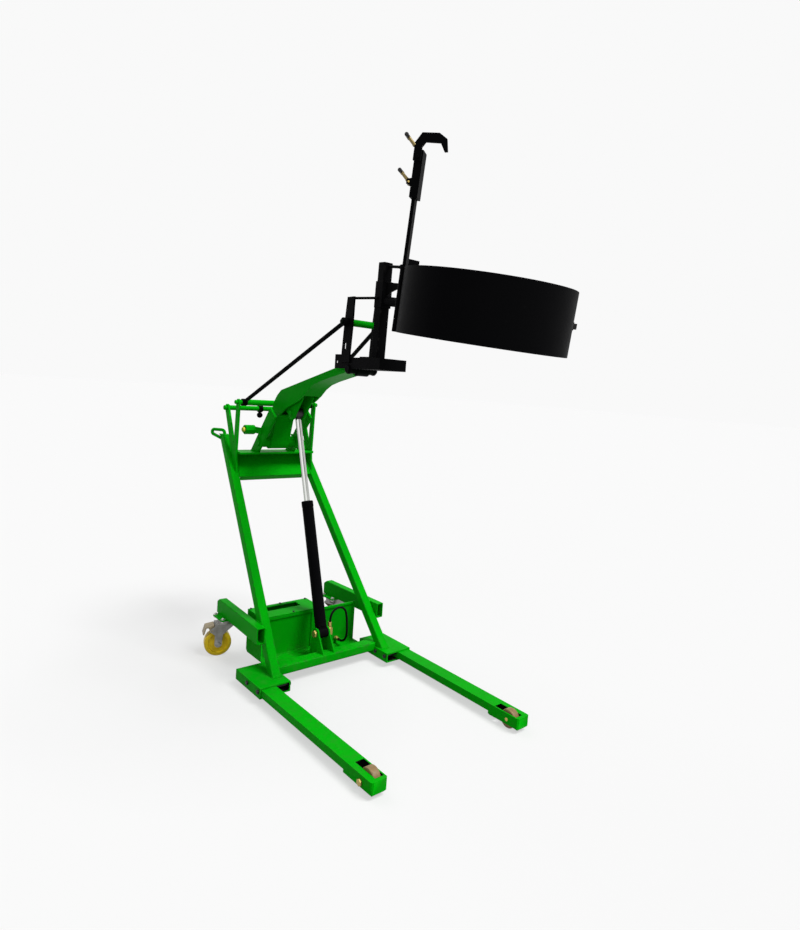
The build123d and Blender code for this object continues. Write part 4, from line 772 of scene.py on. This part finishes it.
def weld_group():
    """Ripples laid close together along a seam, as thick as the seam says."""
    g = node_group("weld_bead", (("Seam", "Geometry"), ("Pitch", "Float"), ("Finish", "Material")))
    seam = g.node("GeometryNodeMeshToCurve", None, {"Mesh": g.node("NodeGroupInput", out="Seam")})
    pitch_in = g.node("NodeGroupInput", out="Pitch")
    steps = g.node("GeometryNodeResampleCurve", {"mode": "LENGTH"}, {"Curve": seam, "Length": pitch_in})
    ball = g.node("GeometryNodeMeshUVSphere", None, {"Segments": 7, "Rings": 5, "Radius": 1.0})
    ripple = g.node("GeometryNodeTransform", None, {"Geometry": ball, "Scale": ripple_shape})
    ripple = g.node("GeometryNodeSetShadeSmooth", None, {"Geometry": ripple})
    tangent = g.node("GeometryNodeInputTangent")
    way = g.node("FunctionNodeAlignRotationToVector", {"axis": "X"}, {"Vector": tangent})
    throat = g.node("GeometryNodeInputNamedAttribute", {"data_type": "FLOAT"}, {"Name": "throat"})
    spread = {2: ripple_least, 3: ripple_most, 8: ripple_seed}
    uneven = g.node("FunctionNodeRandomValue", {"data_type": "FLOAT"}, spread, out=1)
    laid = g.node(
        "GeometryNodeInstanceOnPoints", None,
        {"Points": steps, "Instance": ripple, "Rotation": way, "Scale": throat * uneven},
    )
    return close_group(g, laid)


def bolt_group():
    """A washer, a hexagon and a stud's end at each point, turned over where the point says."""
    g = node_group("plate_bolts", (("Places", "Geometry"), ("Across", "Float"), ("Finish", "Material")))
    size = g.node("NodeGroupInput", out="Across")

    def lifted(made, height):
        """A shape with its middle at a height, as a share of the bolt's size."""
        rise = g.node("ShaderNodeCombineXYZ", None, {"Z": size * height})
        return g.node("GeometryNodeTransform", None, {"Geometry": made, "Translation": rise})

    def disc(sides, radius, depth):
        """A round or a hexagon, in shares of the bolt's size."""
        sockets = {"Vertices": sides, "Radius": size * radius, "Depth": size * depth}
        return g.node("GeometryNodeMeshCylinder", None, sockets)

    washer = disc(18, 0.92, 0.16)
    body = disc(6, 0.577, 0.42)
    bevelled = g.node(
        "GeometryNodeMeshCone", None,
        {"Vertices": 6, "Radius Top": size * 0.44, "Radius Bottom": size * 0.577, "Depth": size * 0.10},
    )
    stud = disc(10, 0.29, 0.3)
    stack = [lifted(washer, 0.08), lifted(body, 0.37), lifted(bevelled, 0.58), lifted(stud, 0.62)]
    joined = g.node("GeometryNodeJoinGeometry", None, {0: stack})
    turn = g.node("GeometryNodeInputNamedAttribute", {"data_type": "FLOAT"}, {"Name": "turn"})
    way = g.node("ShaderNodeCombineXYZ", None, {"X": turn})
    spots = g.node("NodeGroupInput", out="Places")
    points = g.node("GeometryNodeMeshToPoints", None, {"Mesh": spots})
    put = g.node(
        "GeometryNodeInstanceOnPoints", None,
        {"Points": points, "Instance": joined, "Rotation": way},
    )
    return close_group(g, put)


def grown(name, tree, mesh, inputs):
    """Runs a tree on a mesh once and gives the plain result."""
    holder = bpy.data.objects.new(name, mesh)
    bpy.context.scene.collection.objects.link(holder)
    work = holder.modifiers.new(name, "NODES")
    work.node_group = tree
    for item in tree.interface.items_tree:
        if item.name in inputs and item.in_out == "INPUT":
            work[item.identifier] = inputs[item.name]
    evaluated = holder.evaluated_get(bpy.context.evaluated_depsgraph_get())
    made = bpy.data.meshes.new_from_object(evaluated)
    bpy.data.objects.remove(holder)
    return made


weld_bead = weld_group()
plate_bolt = bolt_group()


def marked_mesh(name, places, edges, mark, values):
    """Bare points and edges that carry one number each."""
    mesh = bpy.data.meshes.new(name)
    mesh.from_pydata(places, edges, [])
    layer = mesh.attributes.new(mark, "FLOAT", "POINT")
    layer.data.foreach_set("value", values)
    return mesh


def weld(name, node, seams):
    """Beads along the seams of one body, each given as a throat and its places."""
    places, edges, throats = [], [], []
    for throat, line in seams:
        first = len(places)
        places += line
        edges += [(k, k + 1) for k in range(first, len(places) - 1)]
        throats += [throat * MM] * len(line)
    seam = marked_mesh(name + "_seams", places, edges, "throat", throats)
    slot = slot_of[node]
    made = grown(name, weld_bead, seam, {"Pitch": weld_pitch, "Finish": finishes[slot]})
    finished(name, made, body_of(node), slot)


def bolts(name, node, across, spots, finish, slot):
    """Bolts standing on the plates of one body, each given as a place and a turn."""
    places = [mm(*spot[:3]) for spot in spots]
    mesh = marked_mesh(name + "_places", places, [], "turn", [spot[3] for spot in spots])
    made = grown(name, plate_bolt, mesh, {"Across": across * MM, "Finish": finish})
    finished(name, made, body_of(node), slot, finish)


def round_seam(centre, axis, radius, count=28):
    """A closed seam round an axis."""
    axis = Vector(axis).normalized()
    first = axis.orthogonal().normalized()
    second = axis.cross(first)
    turns = [2 * pi * k / count for k in range(count + 1)]
    return [centre + (first * cos(t) + second * sin(t)) * (radius * MM) for t in turns]


def side_seam(x, *outline):
    """A seam on a plate that faces sideways."""
    return [mm(x, y, z) for y, z in outline]


# Seams of the chassis
socket_top = 70.0
column_foot_x = 291.0
column_foot_y = 142.4
column_inward = 0.0867
column_back = 0.817
column_half = 21.5
lean = atan(column_back)
taper = column_inward * cos(lean)
arm_root = 303.36
arm_front = 218.0
arm_width = 38.0
arm_bottom = 186.0
arm_top = 258.0
web_runs = ((986.0, 1112.0, 19.5), (986.0, 1104.0, 12.0))
shelf_top = 960.2
ear_face = 210.2
shaft_face = 220.2
tray_top = 51.2
beam_top = 90.2
beam_end = 257.8
beam_outline = ((160.0, 70.0), (160.0, 50.0), (220.0, 50.0), (220.0, 70.0))


def column_middle(side, z):
    """Where a column's middle line is at a height."""
    rise = z - socket_top
    return (side * (column_foot_x - column_inward * rise), column_foot_y + column_back * rise)


def column_inside(run):
    """How far out a seam on a column's inner face is, along its lean."""
    return column_foot_x - taper * run - column_half - 0.2


def on_lean(x, run, out):
    """A place along the columns' lean and out of their front."""
    y = column_foot_y + run * sin(lean) - out * cos(lean)
    return mm(x, y, socket_top + run * cos(lean) + out * sin(lean))


def arm_face(y):
    """How far out a rear arm's inner face is."""
    return arm_root - taper * sin(lean) * (y - arm_front)


chassis_seams = []
for side in (-1, 1):
    foot_x, foot_y = column_middle(side, socket_top)
    deep = column_half / cos(lean)
    corners = (
        (-column_half, -deep), (column_half, -deep), (column_half, deep), (-column_half, deep),
        (-column_half, -deep),
    )
    foot_line = [mm(foot_x + a, foot_y + b, socket_top) for a, b in corners]
    chassis_seams.append((3.2, foot_line))
    high_y = column_middle(side, arm_top)[1]
    low_line = [mm(side * arm_face(y), y, arm_bottom) for y in (220.0, 264.0)]
    chassis_seams.append((2.8, low_line))
    high_line = [mm(side * (arm_face(y) - 1.9), y, arm_top - 1.0) for y in (high_y - deep, high_y + deep)]
    chassis_seams.append((3.4, high_line))
    for run_low, run_high, out in web_runs:
        web_line = [on_lean(side * column_inside(run), run, out) for run in (run_low, run_high)]
        chassis_seams.append((2.6, web_line))
    chassis_seams.append((2.4, side_seam(side * ear_face, (746.0, shelf_top), (826.0, shelf_top))))
    for face in (93.8, 106.2):
        chassis_seams.append((3.0, side_seam(side * face, (760.0, shelf_top), (836.0, shelf_top))))
    for face in (24.8, 33.2):
        chassis_seams.append((2.8, side_seam(side * face, (222.0, tray_top), (286.0, tray_top))))
        chassis_seams.append((2.8, side_seam(side * face, (166.0, beam_top), (218.0, beam_top))))
    for face in (-0.2, arm_width + 0.2):
        plate_line = [mm(side * (arm_face(y) + face), y, arm_bottom) for y in (562.0, 662.0)]
        chassis_seams.append((3.0, plate_line))
    chassis_seams.append((2.8, side_seam(side * beam_end, *beam_outline)))
    for y, z, radius in ((897.0, 1173.0, 12.7), (773.0, 1209.0, 10.2)):
        chassis_seams.append((2.2, round_seam(mm(side * shaft_face, y, z), (1, 0, 0), radius)))
chassis_seams.append((2.6, [mm(x, 834.1, 949.6) for x in (-182.0, 182.0)]))
for ends in ((-252.0, -36.0), (36.0, 252.0)):
    chassis_seams.append((2.6, [mm(x, 220.4, tray_top) for x in ends]))
weld("chassis_welds", "front_beam", chassis_seams)

# Seams of the boom, the head, the clamp and the barrel
boom_pivot = (759.0, 1013.0)
boom_bush = 28.2
boom_side = 50.0
boom_seams = []
for side in (-1, 1):
    boom_seams.append((3.2, round_seam(mm(side * boom_side, *boom_pivot), (1, 0, 0), boom_bush)))
weld("boom_welds", "boom_arm", boom_seams)

head_column_y = -63.5
head_column_half = 22
bracket_top = 1450.2
upright_face = 68.6
upright_outline = ((35.6, 1448.0), (35.6, 1428.0), (96.4, 1428.0), (95.8, 1461.0))
housing_back = 570.5
housing_radius = 19.2
foot_corners = ((-1, -1), (1, -1), (1, 1), (-1, 1), (-1, -1))
foot_line = [
    mm(a * head_column_half, head_column_y + b * head_column_half, bracket_top) for a, b in foot_corners
]
head_seams = [(2.6, foot_line)]
for side in (-1, 1):
    head_seams.append((2.2, side_seam(side * upright_face, *upright_outline)))
head_seams.append((2.6, round_seam(ring_place(0, housing_back, 0), ring_back, housing_radius)))
weld("head_welds", "head_bracket", head_seams)

clamp_seams = []
for x in (-30.2, -21.8, 21.8, 30.2):
    reach = sqrt(band_outer ** 2 - x ** 2)
    clamp_seams.append((2.6, [ring_place(x, reach, height) for height in (-60.0, 60.0)]))
for aside in (-20.2, 20.2):
    sink = band_outer - sqrt(band_outer ** 2 - aside ** 2)
    clamp_seams.append((2.6, [rim_place(-sink, height, aside) for height in (-70.0, 109.0)]))
weld("clamp_welds", "clamp_saddle", clamp_seams)

cylinder_foot = mm(0, 240.0, 167.0)
rod_eye = mm(0, 568.0, 1176.0)
barrel_cap = 51.0
barrel_radius = 26.6
stroke = (rod_eye - cylinder_foot).normalized()
barrel_ring = round_seam(cylinder_foot + stroke * (barrel_cap * MM), stroke, barrel_radius, 36)
weld("barrel_weld", "cylinder_barrel", [(2.2, barrel_ring)])

# Bolts of the caster plates and screws of the lid
plate_thick = 8.0
plate_bolt_size = 11.0
lid_screw_size = 7.0
lid_top = 250.0
plate_spots = []
for side in (-1, 1):
    for a in (-33.0, 33.0):
        for b in (-42.0, 42.0):
            spot = (side * arm_x + a, caster_y + b)
            plate_spots.append((*spot, arm_bottom, 0.0))
            plate_spots.append((*spot, arm_bottom - plate_thick, pi))
bolts("caster_bolts", "caster_plates", plate_bolt_size, plate_spots, finishes["zinc_plate"], "zinc_plate")
lid_spots = [(x, y, lid_top, 0.0) for x in (-244.0, -92.0, 47.0) for y in (348.0, 480.0)]
bolts("lid_screws", "box_lid", lid_screw_size, lid_spots, bolt_black, "black_paint")

# Floor, light and surroundings
white = (0.947, 0.947, 0.947, 1.0)
dome_light = 0.17
floor_half = 60
lit_floor = (0.3, 0.3, 0.3)
seen_floor = (0.78, 0.78, 0.78)
floor_glow = 0.6


def looked_at(graph):
    """1 where the camera, a mirror or glass looks, 0 for the light that falls on things."""
    kinds = ("Is Camera Ray", "Is Glossy Ray", "Is Transmission Ray")
    camera_ray, glossy_ray, glass_ray = [graph.node("ShaderNodeLightPath", out=kind) for kind in kinds]
    return camera_ray | glossy_ray | glass_ray


world = bpy.data.worlds.new("studio")
bpy.context.scene.world = world
world.use_nodes = True
sky = Graph(world.node_tree)
backdrop = sky.node("ShaderNodeBackground", None, {"Color": white})
dome = sky.node("ShaderNodeBackground", None, {"Color": (1.0, 1.0, 1.0, 1.0), "Strength": dome_light})
sky.node(
    "ShaderNodeOutputWorld", None,
    {"Surface": sky.node("ShaderNodeMixShader", None, {0: looked_at(sky), 1: dome, 2: backdrop})},
)

floor_mesh = bpy.data.meshes.new("floor")
floor_corners = [(a * floor_half, b * floor_half, 0) for a, b in ((-1, -1), (1, -1), (1, 1), (-1, 1))]
floor_mesh.from_pydata(floor_corners, [], [(0, 1, 2, 3)])
floor = bpy.data.objects.new("floor", floor_mesh)
bpy.context.scene.collection.objects.link(floor)
ground = Finish("pale_floor")
viewed = looked_at(ground)
matt = ground.node("ShaderNodeBsdfDiffuse", None, {"Color": ground.blend(viewed, lit_floor, seen_floor)})
glow = ground.node("ShaderNodeEmission", None, {"Color": white})
ground.node(
    "ShaderNodeOutputMaterial", None,
    {"Surface": ground.node("ShaderNodeMixShader", None, {0: viewed * floor_glow, 1: matt, 2: glow})},
)
floor_mesh.materials.append(ground.material)


def lamp(name, toward, strength, softness):
    """An even light from one side of the studio."""
    data = bpy.data.lights.new(name, "SUN")
    data.energy = strength
    data.angle = radians(softness)
    light = bpy.data.objects.new(name, data)
    light.matrix_world = Vector(toward).to_track_quat("Z", "Y").to_matrix().to_4x4()
    bpy.context.scene.collection.objects.link(light)


lamp("key", (0.25, -0.45, 0.86), 3.2, 28.0)
lamp("fill", (-0.75, -0.5, 0.43), 0.55, 60.0)
lamp("back", (-0.15, 0.6, 0.79), 0.5, 40.0)
